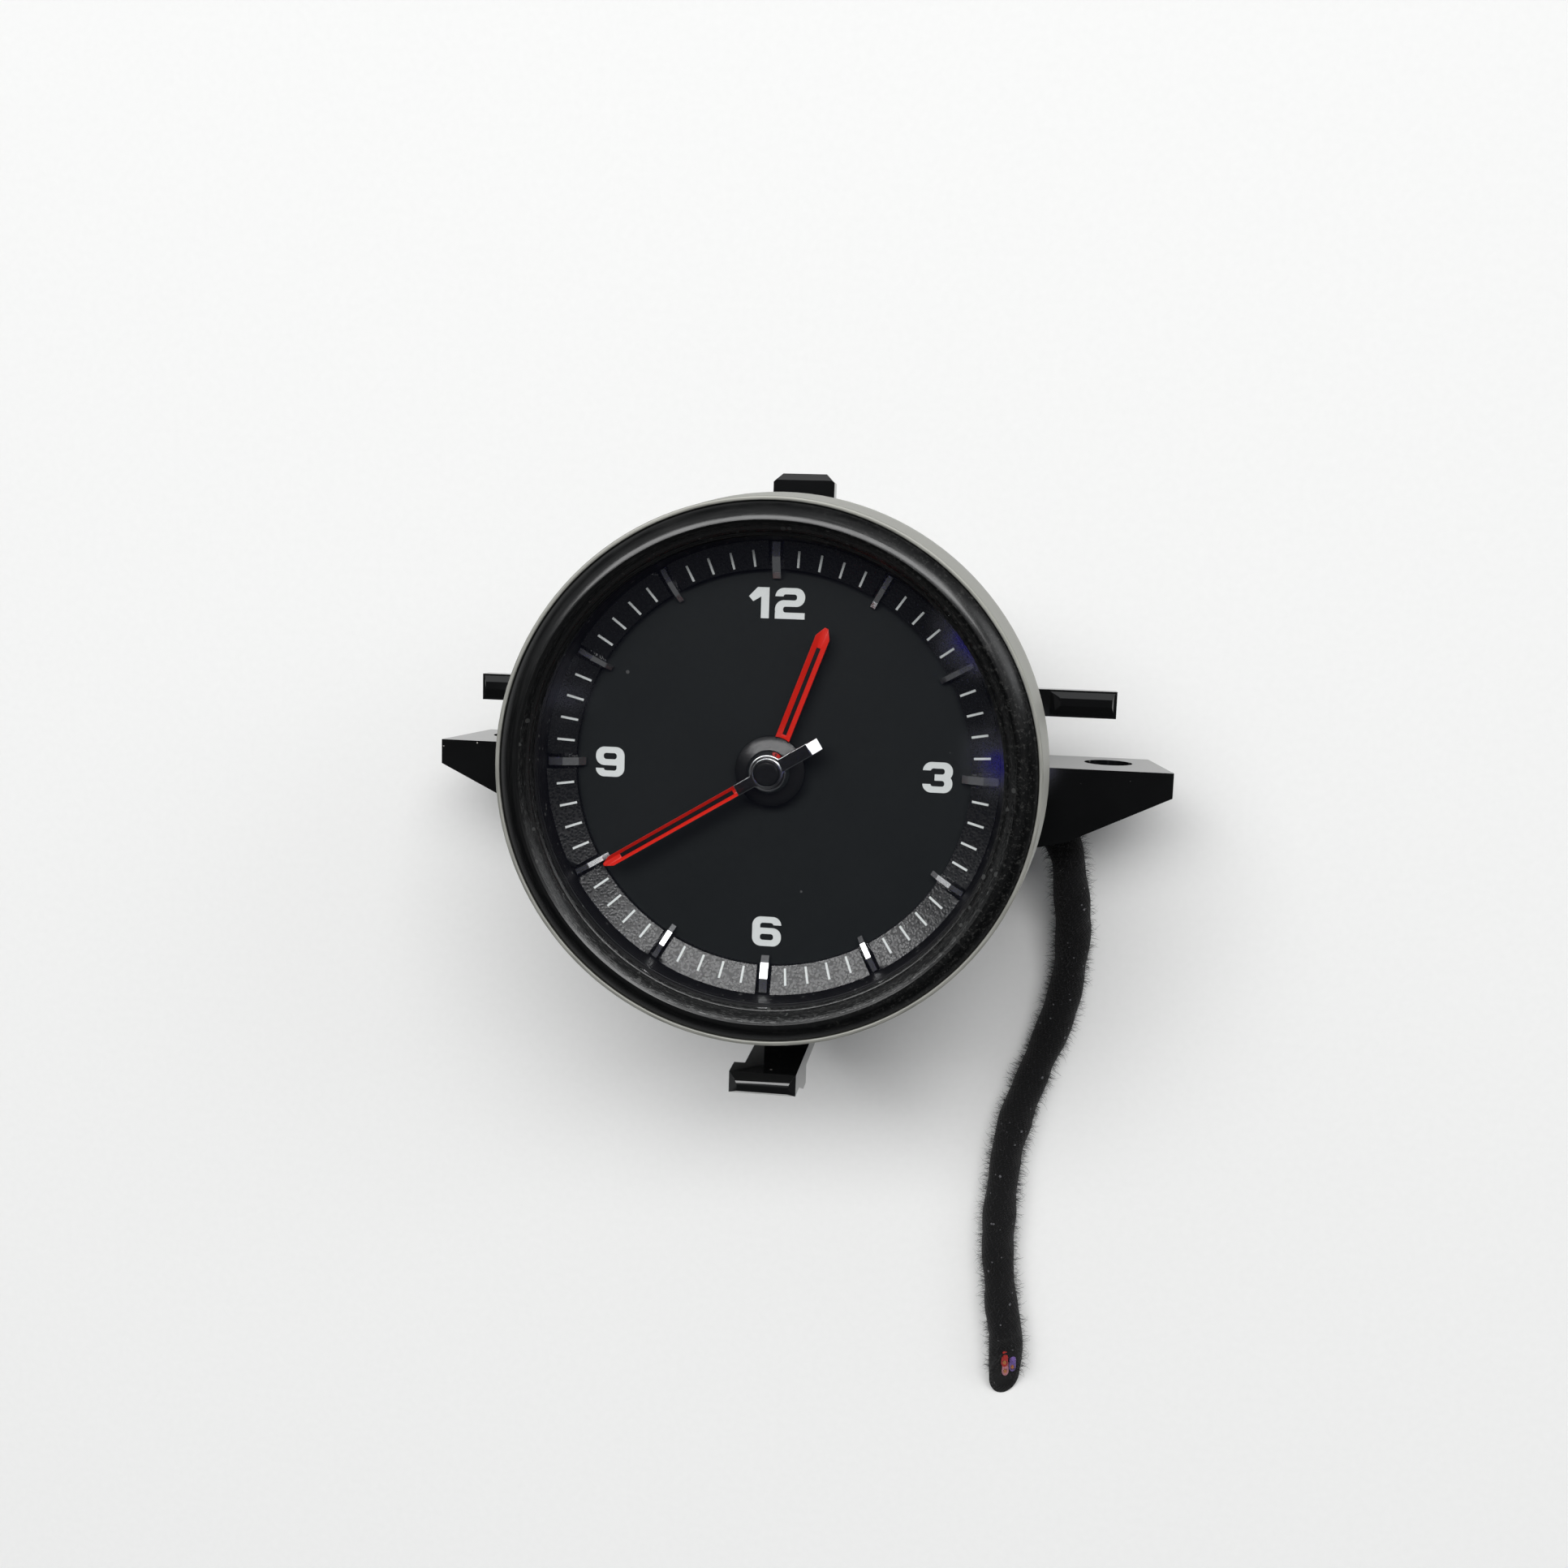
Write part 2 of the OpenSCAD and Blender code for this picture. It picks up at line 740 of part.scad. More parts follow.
module inlay_bar(len, root, z) {
  top = z + blade_t - blade_dip;
  box(-inlay_w/2, inlay_w/2, root + inlay_w, len - inlay_end, top - inlay_t, top);
}

module hour_hand() {
  color("#e0301e") at_clock(hour_angle) difference() {
    blade(hour_len, hour_w, 0, hour_blade_z);
    disc(hour_hub_d/2, hour_blade_z - 1, hour_blade_z + blade_t + 1);
    inlay_bar(hour_len, hour_hub_d/2, hour_blade_z);
  }
}

module hour_inlay() {
  color("#1a0f0e") at_clock(hour_angle) inlay_bar(hour_len, hour_hub_d/2, hour_blade_z);
}

module hour_hub() {
  r0 = pipe_r + press;
  r1 = hour_hub_d/2;
  top = hour_hub_z + hour_hub_t;
  color("#1c1d1f") rotate_extrude() polygon([
    [r0, hour_hub_z], [r1, hour_hub_z], [r1, top - hub_slope], [boss_d/2, top], [r0, top]
  ]);
}

module minute_hand() {
  color("#e0301e") at_clock(minute_angle) difference() {
    blade(minute_len, minute_w, blade_root, minute_blade_z);
    inlay_bar(minute_len, blade_root, minute_blade_z);
  }
}

module minute_inlay() {
  color("#1a0f0e") at_clock(minute_angle) inlay_bar(minute_len, blade_root, minute_blade_z);
}

module minute_boss() {
  color("#d4d5d6") at_clock(minute_angle) difference() {
    union() {
      translate([0, 0, boss_z]) cylinder(d1 = boss_d + 2*boss_flank, d2 = boss_d, h = boss_t);
      box(-root_w/2, root_w/2, 0, blade_root, boss_z, boss_top);
      rotate([90, 0, -90]) translate([0, 0, -tail_w/2]) linear_extrude(tail_w) polygon([
        [0, boss_z], [tail_len, boss_z], [tail_len, boss_top - tail_drop],
        [tail_len - tail_bevel, boss_top], [0, boss_top]
      ]);
    }
    disc(arbor_r + press, boss_z - 1, boss_top + 1);
  }
}

module cap_ring() {
  color("#cfd0d1") tube(cap_d/2 + cap_ring_t, cap_d/2, boss_top, boss_top + cap_t/2);
}

module minute_cap() {
  color("#121314") rotate_extrude() polygon([
    [0, boss_top], [cap_d/2, boss_top], [cap_d/2, boss_top + cap_t - cap_edge],
    [cap_d/2 - cap_edge, boss_top + cap_t], [0, boss_top + cap_t]
  ]);
}

// Movement: everything on the minute hand's shaft
module centre_arbor() {
  color("#9fa3a6") disc(arbor_r, back_z, boss_top);
}

module centre_wheel() {
  pitch_r = centre_n*train_module/2;
  color("#c8a14a") difference() {
    gear(centre_n, train_module, wheel_add, wheel_ded, arbor_r + press, centre_wheel_z, wheel_t,
      third_dir);
    wheel_windows(centre_windows, pitch_r, centre_wheel_z, wheel_t);
  }
}

module cannon_pinion() {
  color("#b98f3c") gear(cannon_n, motion_module, pinion_add, pinion_ded, arbor_r + press, cannon_z,
    cannon_t, motion_dir);
}

// The hour wheel and its pipe
module hour_wheel() {
  pitch_r = hour_wheel_n*motion_module/2;
  bore = arbor_r + running;
  color("#e6e3d8") difference() {
    union() {
      gear(hour_wheel_n, motion_module, wheel_add, wheel_ded, bore, hour_wheel_z, wheel_t,
        motion_dir);
      tube(pipe_r, bore, hour_wheel_z, hour_hub_z + hour_hub_t/2);
    }
    wheel_windows(hour_windows, pitch_r, hour_wheel_z, wheel_t);
  }
}

// The minute wheel and its pinion turn on the stud
module minute_wheel() {
  toward = motion_dir + 180;
  bore = stud_r + running;
  pinion_z = minute_wheel_z + wheel_t;
  color("#e6e3d8") translate(motion_xy) {
    gear(minute_wheel_n, motion_module, wheel_add, wheel_ded, bore, minute_wheel_z, wheel_t,
      toward + 180/minute_wheel_n);
    gear(minute_pinion_n, motion_module, pinion_add, pinion_ded, bore, pinion_z,
      hour_wheel_z + wheel_t - pinion_z, toward + 180/minute_pinion_n);
  }
}

module motion_stud() {
  color("#9fa3a6") translate(motion_xy) {
    disc(stud_collar_r, stud_z, stud_z + stud_collar_t);
    disc(stud_r, stud_z, plate_top);
  }
}

module third_wheel() {
  toward = third_dir + 180;
  pinion_toward = toward + 180/third_pinion_n;
  color("#e6e3d8") translate(third_xy) {
    gear(third_n, rotor_module, wheel_add, wheel_ded, third_arbor_r + press, third_wheel_z,
      wheel_t, rotor_dir);
    gear(third_pinion_n, train_module, pinion_add, pinion_ded, third_arbor_r + press,
      third_pinion_z, third_pinion_t, pinion_toward);
  }
}

module third_arbor() {
  color("#9fa3a6") translate(third_xy) disc(third_arbor_r, back_z, plate_top);
}

module rotor_magnet() {
  color("#4a4c50") translate(rotor_xy)
    tube(magnet_r, rotor_arbor_r + press, stator_z + (stator_t - magnet_t)/2,
      stator_z + (stator_t + magnet_t)/2);
}

// The rotor's pinion is one turned piece with its arbor
module rotor_pinion() {
  toward = rotor_dir + 180;
  color("#b7babd") translate(rotor_xy) {
    disc(rotor_arbor_r, back_z, plate_top);
    gear(rotor_pinion_n, rotor_module, pinion_add, pinion_ded, rotor_arbor_r - tiny,
      rotor_pinion_z, rotor_pinion_t, toward + 180/rotor_pinion_n);
  }
}

// Stator: a plate round the rotor with a tab to each end of the coil's core
module stator() {
  z0 = stator_z;
  z1 = stator_z + stator_t;
  color("#8d9194") translate(rotor_xy) difference() {
    union() {
      box(-stator_half_w, stator_half_w, -stator_half_len, stator_half_len, z0, z1);
      for (s = [0, 1]) mirror([0, s, 0])
        box(0, coil_offset + core_w/2, stator_half_len - stator_tab, stator_half_len, z0, z1);
    }
    disc(magnet_r + stator_gap, z0 - 1, z1 + 1);
  }
}

module coil_core() {
  color("#8d9194") translate(rotor_xy + [coil_offset, 0])
    box(-core_w/2, core_w/2, -core_half_len, core_half_len, stator_z, stator_z + stator_t);
}

// Turns the coil's own axis, drawn along Z, to lie along Y
module on_core() {
  translate([rotor_xy.x + coil_offset, rotor_xy.y, stator_z + stator_t/2]) rotate([-90, 0, 0])
    children();
}

module coil_bobbin() {
  color("#d8d2b8") on_core() difference() {
    union() {
      disc(bobbin_r, -core_half_len, core_half_len);
      disc(bobbin_flange_r, -core_half_len, bobbin_flange_t - core_half_len);
      disc(bobbin_flange_r, core_half_len - bobbin_flange_t, core_half_len);
    }
    box(-core_w/2, core_w/2, -stator_t/2, stator_t/2, -core_half_len - 1, core_half_len + 1);
  }
}

module coil() {
  half = core_half_len - bobbin_flange_t;
  color("#b4602f") on_core() tube(coil_r, bobbin_r, -half, half);
}

module front_plate() {
  color("#d9d6c8") difference() {
    disc(bore_r - plate_inset, plate_z, plate_top);
    disc(pipe_r + running, plate_z - 1, plate_top + 1);
    translate(motion_xy) disc(stud_r + press, plate_z - 1, plate_top + 1);
    translate(third_xy) disc(third_arbor_r + running, plate_z - 1, plate_top + 1);
    translate(rotor_xy) disc(rotor_arbor_r + running, plate_z - 1, plate_top + 1);
    at_angles(leg_angles, leg_pos) disc(leg_r + leg_gap, plate_z - 1, plate_top + 1);
    at_angles(screw_angles, plate_screw_pos)
      disc(small_screw_r + running, plate_z - 1, plate_top + 1);
  }
}

module back_plate() {
  color("#d9d6c8") difference() {
    union() {
      disc(back_r, back_z, back_top);
      for (s = [-1, 1]) translate(rotor_xy + [0, s*(stator_half_len - stator_post_r)])
        disc(stator_post_r, back_top - tiny, stator_z);
    }
    disc(arbor_r + running, back_z - 1, back_top + 1);
    translate(third_xy) disc(third_arbor_r + running, back_z - 1, back_top + 1);
    translate(rotor_xy) disc(rotor_arbor_r + running, back_z - 1, back_top + 1);
    at_angles(pillar_angles, pillar_pos) disc(small_screw_r + running, back_z - 1, back_top + 1);
  }
}

module pillars() {
  color("#c9c5b4") at_angles(pillar_angles, pillar_pos) difference() {
    disc(pillar_r, back_top, plate_z);
    disc(small_screw_r + running, back_top - 1, back_top + pillar_thread);
  }
}

module board_posts() {
  color("#c9c5b4") at_angles(pillar_angles, pillar_pos)
    tube(pillar_r, small_screw_r + running, board_top, back_z);
}

module movement_screws() {
  color("#a9adb0") at_angles(pillar_angles, pillar_pos) {
    disc(small_head_r, board_z - small_head_t, board_z);
    disc(small_screw_r, board_z - tiny, back_top + pillar_thread - thread_end);
  }
}

module plate_screws() {
  color("#a9adb0") at_angles(screw_angles, plate_screw_pos) {
    disc(plate_screw_head_r, plate_z - small_head_t, plate_z);
    disc(small_screw_r, plate_z - tiny, plate_top + plate_screw_bite);
  }
}

// Circuit board and what is soldered to it
module circuit_board() {
  hole = pin_w + 2*channel_gap;
  color("#2f6b46") difference() {
    disc(board_r, board_z, board_top);
    at_angles(pillar_angles, pillar_pos) disc(small_screw_r + running, board_z - 1, board_top + 1);
    along_plug() for (i = [-1:1]) translate([pin_root, i*pin_pitch, 0])
      box(-hole/2, hole/2, -hole/2, hole/2, board_z - 1, board_top + 1);
  }
}

module clock_chip() {
  color("#1d1e20") translate([chip_xy.x, chip_xy.y, board_z - chip_size.z]) cube(chip_size);
}

module crystal() {
  color("#c3c7c9") translate([crystal_xy.x, crystal_xy.y, board_z - crystal_r])
    rotate([0, 90, 0]) cylinder(r = crystal_r, h = crystal_len);
}

module capacitor() {
  color("#30343c") translate(capacitor_xy) disc(capacitor_r, board_z - capacitor_h, board_z);
}

module resistors() {
  color("#26282b") for (i = [0:resistor_count - 1])
    translate([resistor_xy.x, resistor_xy.y + i*resistor_pitch, board_z - resistor_size.z])
      cube(resistor_size);
}

// Side connector: X runs out along the plug
module along_plug() {
  rotate(plug_dir) children();
}

module socket() {
  root = plug_in - socket_back - plug_gap;
  color("#26282a") along_plug() difference() {
    union() {
      box(root, socket_mouth, -socket_half_w, socket_half_w, plug_z - socket_half_h,
        plug_z + socket_half_h);
      box(root, plug_in - plug_gap, -socket_half_w, socket_half_w, plug_z, board_z);
    }
    box(plug_in - plug_gap, socket_mouth + 1, -plug_w/2 - plug_gap, plug_w/2 + plug_gap,
      plug_z - plug_h/2 - plug_gap, plug_z + plug_h/2 + plug_gap);
    socket_pin_rows(channel_gap);
  }
}

// Three pins that run level into the plug and turn up to the board
module socket_pin_rows(grow) {
  half = pin_w/2 + grow;
  for (i = [-1:1]) translate([0, i*pin_pitch, 0]) {
    box(pin_root - half, pin_out, -half, half, plug_z - half, plug_z + half);
    box(pin_root - half, pin_root + half, -half, half, plug_z, board_top + pin_stand);
  }
}

module socket_pins() {
  color("#c9b46a") along_plug() socket_pin_rows(0);
}

module plug() {
  half = channel_w/2;
  color("#17181a") along_plug() difference() {
    box(plug_in, plug_reach, -plug_w/2, plug_w/2, plug_z - plug_h/2, plug_z + plug_h/2);
    for (i = [-1:1]) box(plug_in - 1, plug_in + terminal_len + channel_end, i*pin_pitch - half,
      i*pin_pitch + half, plug_z - half, plug_z + half);
  }
}

// One spring terminal round each pin
module terminals() {
  half = channel_w/2 - channel_gap;
  hole = pin_w/2 + channel_gap;
  color("#c3a457") along_plug() for (i = [-1:1]) translate([0, i*pin_pitch, plug_z]) difference() {
    box(plug_in + terminal_set, plug_in + terminal_len, -half, half, -half, half);
    box(plug_in - 1, plug_in + terminal_len + 1, -hole, hole, -hole, hole);
  }
}

// Loom: rings of points square to the route, joined into one tube with a slanted end
function unit(v) = v/norm(v);
function way(p, i) =
  i == 0 ? unit(p[1] - p[0])
  : i == len(p) - 1 ? unit(p[i] - p[i - 1])
  : unit(unit(p[i + 1] - p[i]) + unit(p[i] - p[i - 1]));
function ring_at(p, i, r, n) =
  let (w = way(p, i), u = unit(cross(w, [0, 0, 1])), v = cross(u, w))
  let (up = i == len(p) - 1 ? v - end_slant*w : v)
  [for (k = [0:n - 1]) p[i] + r*cos(k*360/n)*u + r*sin(k*360/n)*up];

module swept_tube(p, r, n) {
  points = [for (i = [0:len(p) - 1]) each ring_at(p, i, r, n)];
  sides = [for (i = [0:len(p) - 2], k = [0:n - 1], h = [0, 1])
    let (a = i*n + k, b = i*n + (k + 1)%n)
    h == 0 ? [a, b, b + n] : [a, b + n, a + n]];
  last = (len(p) - 1)*n;
  polyhedron(points, concat(sides, [[for (k = [n - 1:-1:0]) k]], [[for (k = [0:n - 1]) last + k]]));
}

module loom() {
  color("#1a1a1b") swept_tube(cord_route, cord_r, cord_sides);
}

// Wire stubs between the loom's slanted end and a plane parallel to it
module wire_ends() {
  tip = cord_route[len(cord_route) - 1];
  run = end_slant*cord_r;
  color("#b04a3a") for (q = wire_places) intersection() {
    translate(tip + [q.x, cord_d, q.y]) rotate([90, 0, 0]) cylinder(d = wire_d, h = 2*cord_d);
    translate([tip.x - cord_r, tip.y, tip.z]) rotate([90, 0, 90]) linear_extrude(cord_d) polygon([
      [-run, -cord_r], [run, cord_r], [run - wire_len, cord_r], [-run - wire_len, -cord_r]
    ]);
  }
}

// Housing: a barrel with side wings, lugs, a top tab and a lower hook, moulded in one
module housing() {
  win_w = socket_half_w + window_gap;
  win_h = socket_half_h + window_gap;
  color("#1e1f21") difference() {
    union() {
      barrel();
      at_angles(screw_angles, boss_pos) screw_boss();
      for (s = [0, 1]) mirror([s, 0, 0]) {
        wing();
        side_lug(lug_y - s*lug_shift, lug_span/2 + s*lug_more);
      }
      top_tab();
      lower_hook();
    }
    along_plug() box(bore_r - cut, barrel_r + cut, -win_w, win_w, plug_z - win_h, plug_z + win_h);
  }
}

module barrel() {
  difference() {
    union() {
      disc(barrel_r, cover_t, rim_z);
      disc(spigot_d/2, rim_z - flange_t - spigot_len, rim_z);
      disc(flange_d/2, rim_z - flange_t, rim_z);
    }
    disc(bore_r, cover_t - 1, ledge_z);
    disc(ledge_r, cover_t - 1, rim_z + 1);
    disc(bore_r, guide_z, rim_z + 1);
    at_angles(screw_angles, plate_screw_pos)
      disc(small_screw_r + running, ledge_z - 1, guide_z - hole_floor);
  }
}

module screw_boss() {
  z0 = cover_t + cover_rim_t;
  difference() {
    disc(boss_r, z0, board_z);
    disc(cover_screw_r + running, z0 - 1, cover_screw_top + thread_end);
  }
}

// A shelf across the axis with a tapering web along its front edge
module wing() {
  z0 = wing_lift;
  z1 = wing_lift + wing_depth;
  end_x = wing_span/2;
  translate([0, -wing_drop, 0]) rotate([90, 0, 0]) difference() {
    linear_extrude(wing_t) polygon([
      [joint_r, z0], [end_x - wing_taper, z0], [end_x, z1], [joint_r, z1]
    ]);
    translate([end_x - wing_hole_inset, z0 + wing_hole_rise, -1])
      cylinder(d = wing_hole_d, h = wing_t + 2);
  }
  root_x = sqrt(pow(joint_r, 2) - pow(wing_root_y, 2));
  translate([0, 0, z1 - wing_t]) linear_extrude(wing_t) polygon([
    [joint_r, -wing_drop], [end_x, -wing_drop], [end_x, -wing_drop - wing_end_h],
    [wing_knee.x, -wing_knee.y], [root_x, -wing_root_y], [root_r, -wing_root_y/2]
  ]);
}

// A bar with a raised block on its front whose four edges slope
module side_lug(y, x1) {
  y0 = y - lug_w/2;
  y1 = y + lug_w/2;
  zb = lug_top - block_h;
  box(root_r, x1, y0, y1, lug_top - lug_depth, zb);
  hipped_block(
    [block_x, x1 - block_inset], [y0 + block_inset, y1 - block_inset], [zb - tiny, lug_top],
    lug_ends, lug_sides
  );
}

// A block between two values each way whose four upright sides slope in to its top
module hipped_block(x, y, z, ends, sides) {
  intersection() {
    translate([0, y[1], 0]) rotate([90, 0, 0]) linear_extrude(y[1] - y[0]) hipped(x, z, ends);
    translate([x[0], 0, 0]) rotate([90, 0, 90]) linear_extrude(x[1] - x[0]) hipped(y, z, sides);
  }
}

module hipped(a, b, slope) {
  polygon([[a[0], b[0]], [a[1], b[0]], [a[1] - slope[1], b[1]], [a[0] + slope[0], b[1]]]);
}

module top_tab() {
  z0 = tab_top - tab_depth;
  intersection() {
    translate([0, 0, z0]) linear_extrude(tab_depth) polygon([
      [-tab_w/2, joint_r], [tab_w/2, joint_r], [tab_w/2, tab_reach - tab_bevel],
      [tab_w/2 - tab_bevel, tab_reach], [tab_bevel - tab_w/2, tab_reach],
      [-tab_w/2, tab_reach - tab_bevel]
    ]);
    translate([-tab_w/2, 0, 0]) rotate([90, 0, 90]) linear_extrude(tab_w) polygon([
      [joint_r, z0], [tab_reach, z0], [tab_reach, tab_top - tab_slope],
      [tab_reach - tab_slope, tab_top], [joint_r, tab_top]
    ]);
  }
}

// A springy strip that runs forward beside the barrel, with a barb and a wider head
module lower_hook() {
  x0 = hook_right - hook_w;
  head_x = [hook_right - hook_head_w, hook_right];
  head_z = hook_top - hook_head_len;
  bevel_z = hook_top - hook_bevel;
  y_in = -hook_reach;
  y_back = y_in - hook_t;
  y_out = y_in - hook_head_t;
  box(x0, hook_right, y_back, -joint_r, hook_foot_z, hook_foot_z + hook_foot_t);
  translate([x0, 0, 0]) rotate([90, 0, 90]) linear_extrude(hook_w) polygon([
    [y_in, hook_foot_z], [y_in, head_z + tiny], [y_out, head_z + tiny],
    [y_out - barb_out, barb_tip], [y_out - barb_out, barb_low], [y_back, barb_low],
    [y_back, hook_foot_z]
  ]);
  box(head_x[0], head_x[1], y_out, y_in, head_z, bevel_z);
  intersection() {
    translate([0, y_in, 0]) rotate([90, 0, 0]) linear_extrude(hook_head_t)
      hipped(head_x, [bevel_z - tiny, hook_top], hook_ends);
    translate([head_x[0], 0, 0]) rotate([90, 0, 90]) linear_extrude(hook_head_w) polygon([
      [y_out, bevel_z - tiny], [y_in, bevel_z - tiny],
      [y_in - hook_sides[1], hook_top - hook_round[1]],
      [y_in - hook_sides[1] - hook_round[0], hook_top], [y_out + hook_sides[0], hook_top]
    ]);
  }
}

module back_cover() {
  color("#232426") difference() {
    union() {
      disc(barrel_r - cover_inset, 0, cover_t);
      disc(bore_r - seat_gap, cover_t - tiny, cover_t + cover_rim_t);
    }
    tube(groove_r + groove_w, groove_r, -1, groove_deep);
    at_angles(screw_angles, boss_pos) {
      disc(cover_head_r + cover_head_gap, -1, cover_head_z);
      disc(cover_screw_r + running, -1, cover_t + cover_rim_t + 1);
    }
  }
}

module cover_screws() {
  color("#8e9295") at_angles(screw_angles, boss_pos) difference() {
    union() {
      disc(cover_head_r, cover_sink, cover_head_z);
      disc(cover_screw_r, cover_head_z - tiny, cover_screw_top);
    }
    for (a = [0, 90]) rotate(a)
      box(-recess_len/2, recess_len/2, -recess_w/2, recess_w/2, 0, cover_sink + recess_deep);
  }
}

bezel();
trim_ring();
lens();
lens_seal();
spacer_ring();
chapter_ring();
minute_marks();
hour_bars();
dial();
numerals();
light_guide();
lamps();
hour_hand();
hour_inlay();
hour_hub();
minute_hand();
minute_inlay();
minute_boss();
cap_ring();
minute_cap();
centre_arbor();
centre_wheel();
cannon_pinion();
hour_wheel();
minute_wheel();
motion_stud();
third_wheel();
third_arbor();
rotor_magnet();
rotor_pinion();
stator();
coil_core();
coil_bobbin();
coil();
front_plate();
back_plate();
pillars();
board_posts();
movement_screws();
plate_screws();
circuit_board();
clock_chip();
crystal();
capacitor();
resistors();
socket();
socket_pins();
plug();
terminals();
loom();
wire_ends();
housing();
back_cover();
cover_screws();
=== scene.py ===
import json
import math
import random

import bmesh
import bpy
from mathutils import Euler, Matrix, Vector

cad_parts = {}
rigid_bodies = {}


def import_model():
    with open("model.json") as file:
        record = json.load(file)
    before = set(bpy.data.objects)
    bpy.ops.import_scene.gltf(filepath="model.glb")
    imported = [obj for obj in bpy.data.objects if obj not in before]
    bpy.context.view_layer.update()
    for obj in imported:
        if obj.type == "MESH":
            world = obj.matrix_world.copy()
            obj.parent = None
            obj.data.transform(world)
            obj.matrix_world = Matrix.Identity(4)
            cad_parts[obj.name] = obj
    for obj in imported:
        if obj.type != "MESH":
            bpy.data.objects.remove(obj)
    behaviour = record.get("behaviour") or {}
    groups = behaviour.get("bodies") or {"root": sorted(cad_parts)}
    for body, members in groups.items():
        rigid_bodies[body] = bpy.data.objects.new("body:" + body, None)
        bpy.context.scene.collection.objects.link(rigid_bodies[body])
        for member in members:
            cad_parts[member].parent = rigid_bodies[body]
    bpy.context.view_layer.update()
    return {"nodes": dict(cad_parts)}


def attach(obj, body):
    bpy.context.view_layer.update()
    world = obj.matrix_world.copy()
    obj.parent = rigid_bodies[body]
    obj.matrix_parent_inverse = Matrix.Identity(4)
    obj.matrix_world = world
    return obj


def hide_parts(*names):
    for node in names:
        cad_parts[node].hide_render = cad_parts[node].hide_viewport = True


# Start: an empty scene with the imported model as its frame
for old in list(bpy.data.objects):
    bpy.data.objects.remove(old)
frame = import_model()
nodes = frame["nodes"]
scene = bpy.context.scene
MM = 0.001
rng = random.Random(11)


# Camera: where the photograph's camera stood in the clock's frame, in millimetres and degrees
CAMERA_PLACE = (27.1, 24.06, 238.05)
CAMERA_TURN = (-7.29, 7.745, 1.849)
SENSOR_WIDTH = 36
FOCAL_LENGTH = 36.1024
NEAREST_SEEN = 5

camera_data = bpy.data.cameras.new("camera")
camera_data.sensor_width = SENSOR_WIDTH
camera_data.lens = FOCAL_LENGTH
camera_data.clip_start = NEAREST_SEEN*MM
camera = bpy.data.objects.new("camera", camera_data)
scene.collection.objects.link(camera)
camera_turn = Euler([math.radians(a) for a in CAMERA_TURN]).to_matrix().to_4x4()
camera.matrix_world = Matrix.Translation(Vector(CAMERA_PLACE)*MM) @ camera_turn
scene.camera = camera


# Helpers for meshes, which are drawn in millimetres
def add_mesh(name, bm, body="case", sharp=35):
    """Makes a piece of a bmesh, smooth but for edges sharper than the angle in degrees."""
    bmesh.ops.scale(bm, vec=(MM, MM, MM), verts=bm.verts)
    bmesh.ops.recalc_face_normals(bm, faces=bm.faces)
    for face in bm.faces:
        face.smooth = True
    limit = math.radians(sharp)
    for edge in bm.edges:
        edge.smooth = len(edge.link_faces) == 2 and edge.calc_face_angle(0) < limit
    data = bpy.data.meshes.new(name)
    bm.to_mesh(data)
    bm.free()
    piece = bpy.data.objects.new(name, data)
    scene.collection.objects.link(piece)
    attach(piece, body)
    return piece


def lathe(name, profile, steps=240):
    """Turns a closed outline of (radius, height) about the dial's axis."""
    bm = bmesh.new()
    rings = []
    for i in range(steps):
        a = 2*math.pi*i/steps
        rings.append([bm.verts.new((r*math.cos(a), r*math.sin(a), z)) for r, z in profile])
    count = len(profile)
    for i in range(steps):
        ring, following = rings[i], rings[(i + 1) % steps]
        for k in range(count):
            n = (k + 1) % count
            bm.faces.new((ring[k], following[k], following[n], ring[n]))
    return add_mesh(name, bm)


def arc(centre, r, start, end, steps):
    """Points of an arc in a profile, with its ends. The angles are in degrees."""
    turns = [math.radians(start + (end - start)*i/steps) for i in range(steps + 1)]
    return [(centre[0] + r*math.cos(a), centre[1] + r*math.sin(a)) for a in turns]


def smooth_path(points, step):
    """Points about step apart on a smooth curve through the given points."""
    pts = [Vector(p) for p in points]
    pts = [2*pts[0] - pts[1]] + pts + [2*pts[-1] - pts[-2]]
    path = []
    for i in range(1, len(pts) - 2):
        a, b, c, d = pts[i - 1:i + 3]
        count = max(1, round((c - b).length/step))
        for k in range(count):
            t = k/count
            path.append(0.5*(2*b + (c - a)*t + (2*a - 5*b + 4*c - d)*t*t
                             + (3*b - a - 3*c + d)*t*t*t))
    path.append(pts[-2])
    return path


def frames_along(path):
    """Tangent and two normals at each point of a path, turned as little as possible."""
    frames = []
    side = None
    for i in range(len(path)):
        t = (path[min(i + 1, len(path) - 1)] - path[max(i - 1, 0)]).normalized()
        if side is None:
            side = t.cross(Vector((0, 0, 1))).normalized()
        side = (side - t*side.dot(t)).normalized()
        frames.append((t, side, side.cross(t)))
    return frames


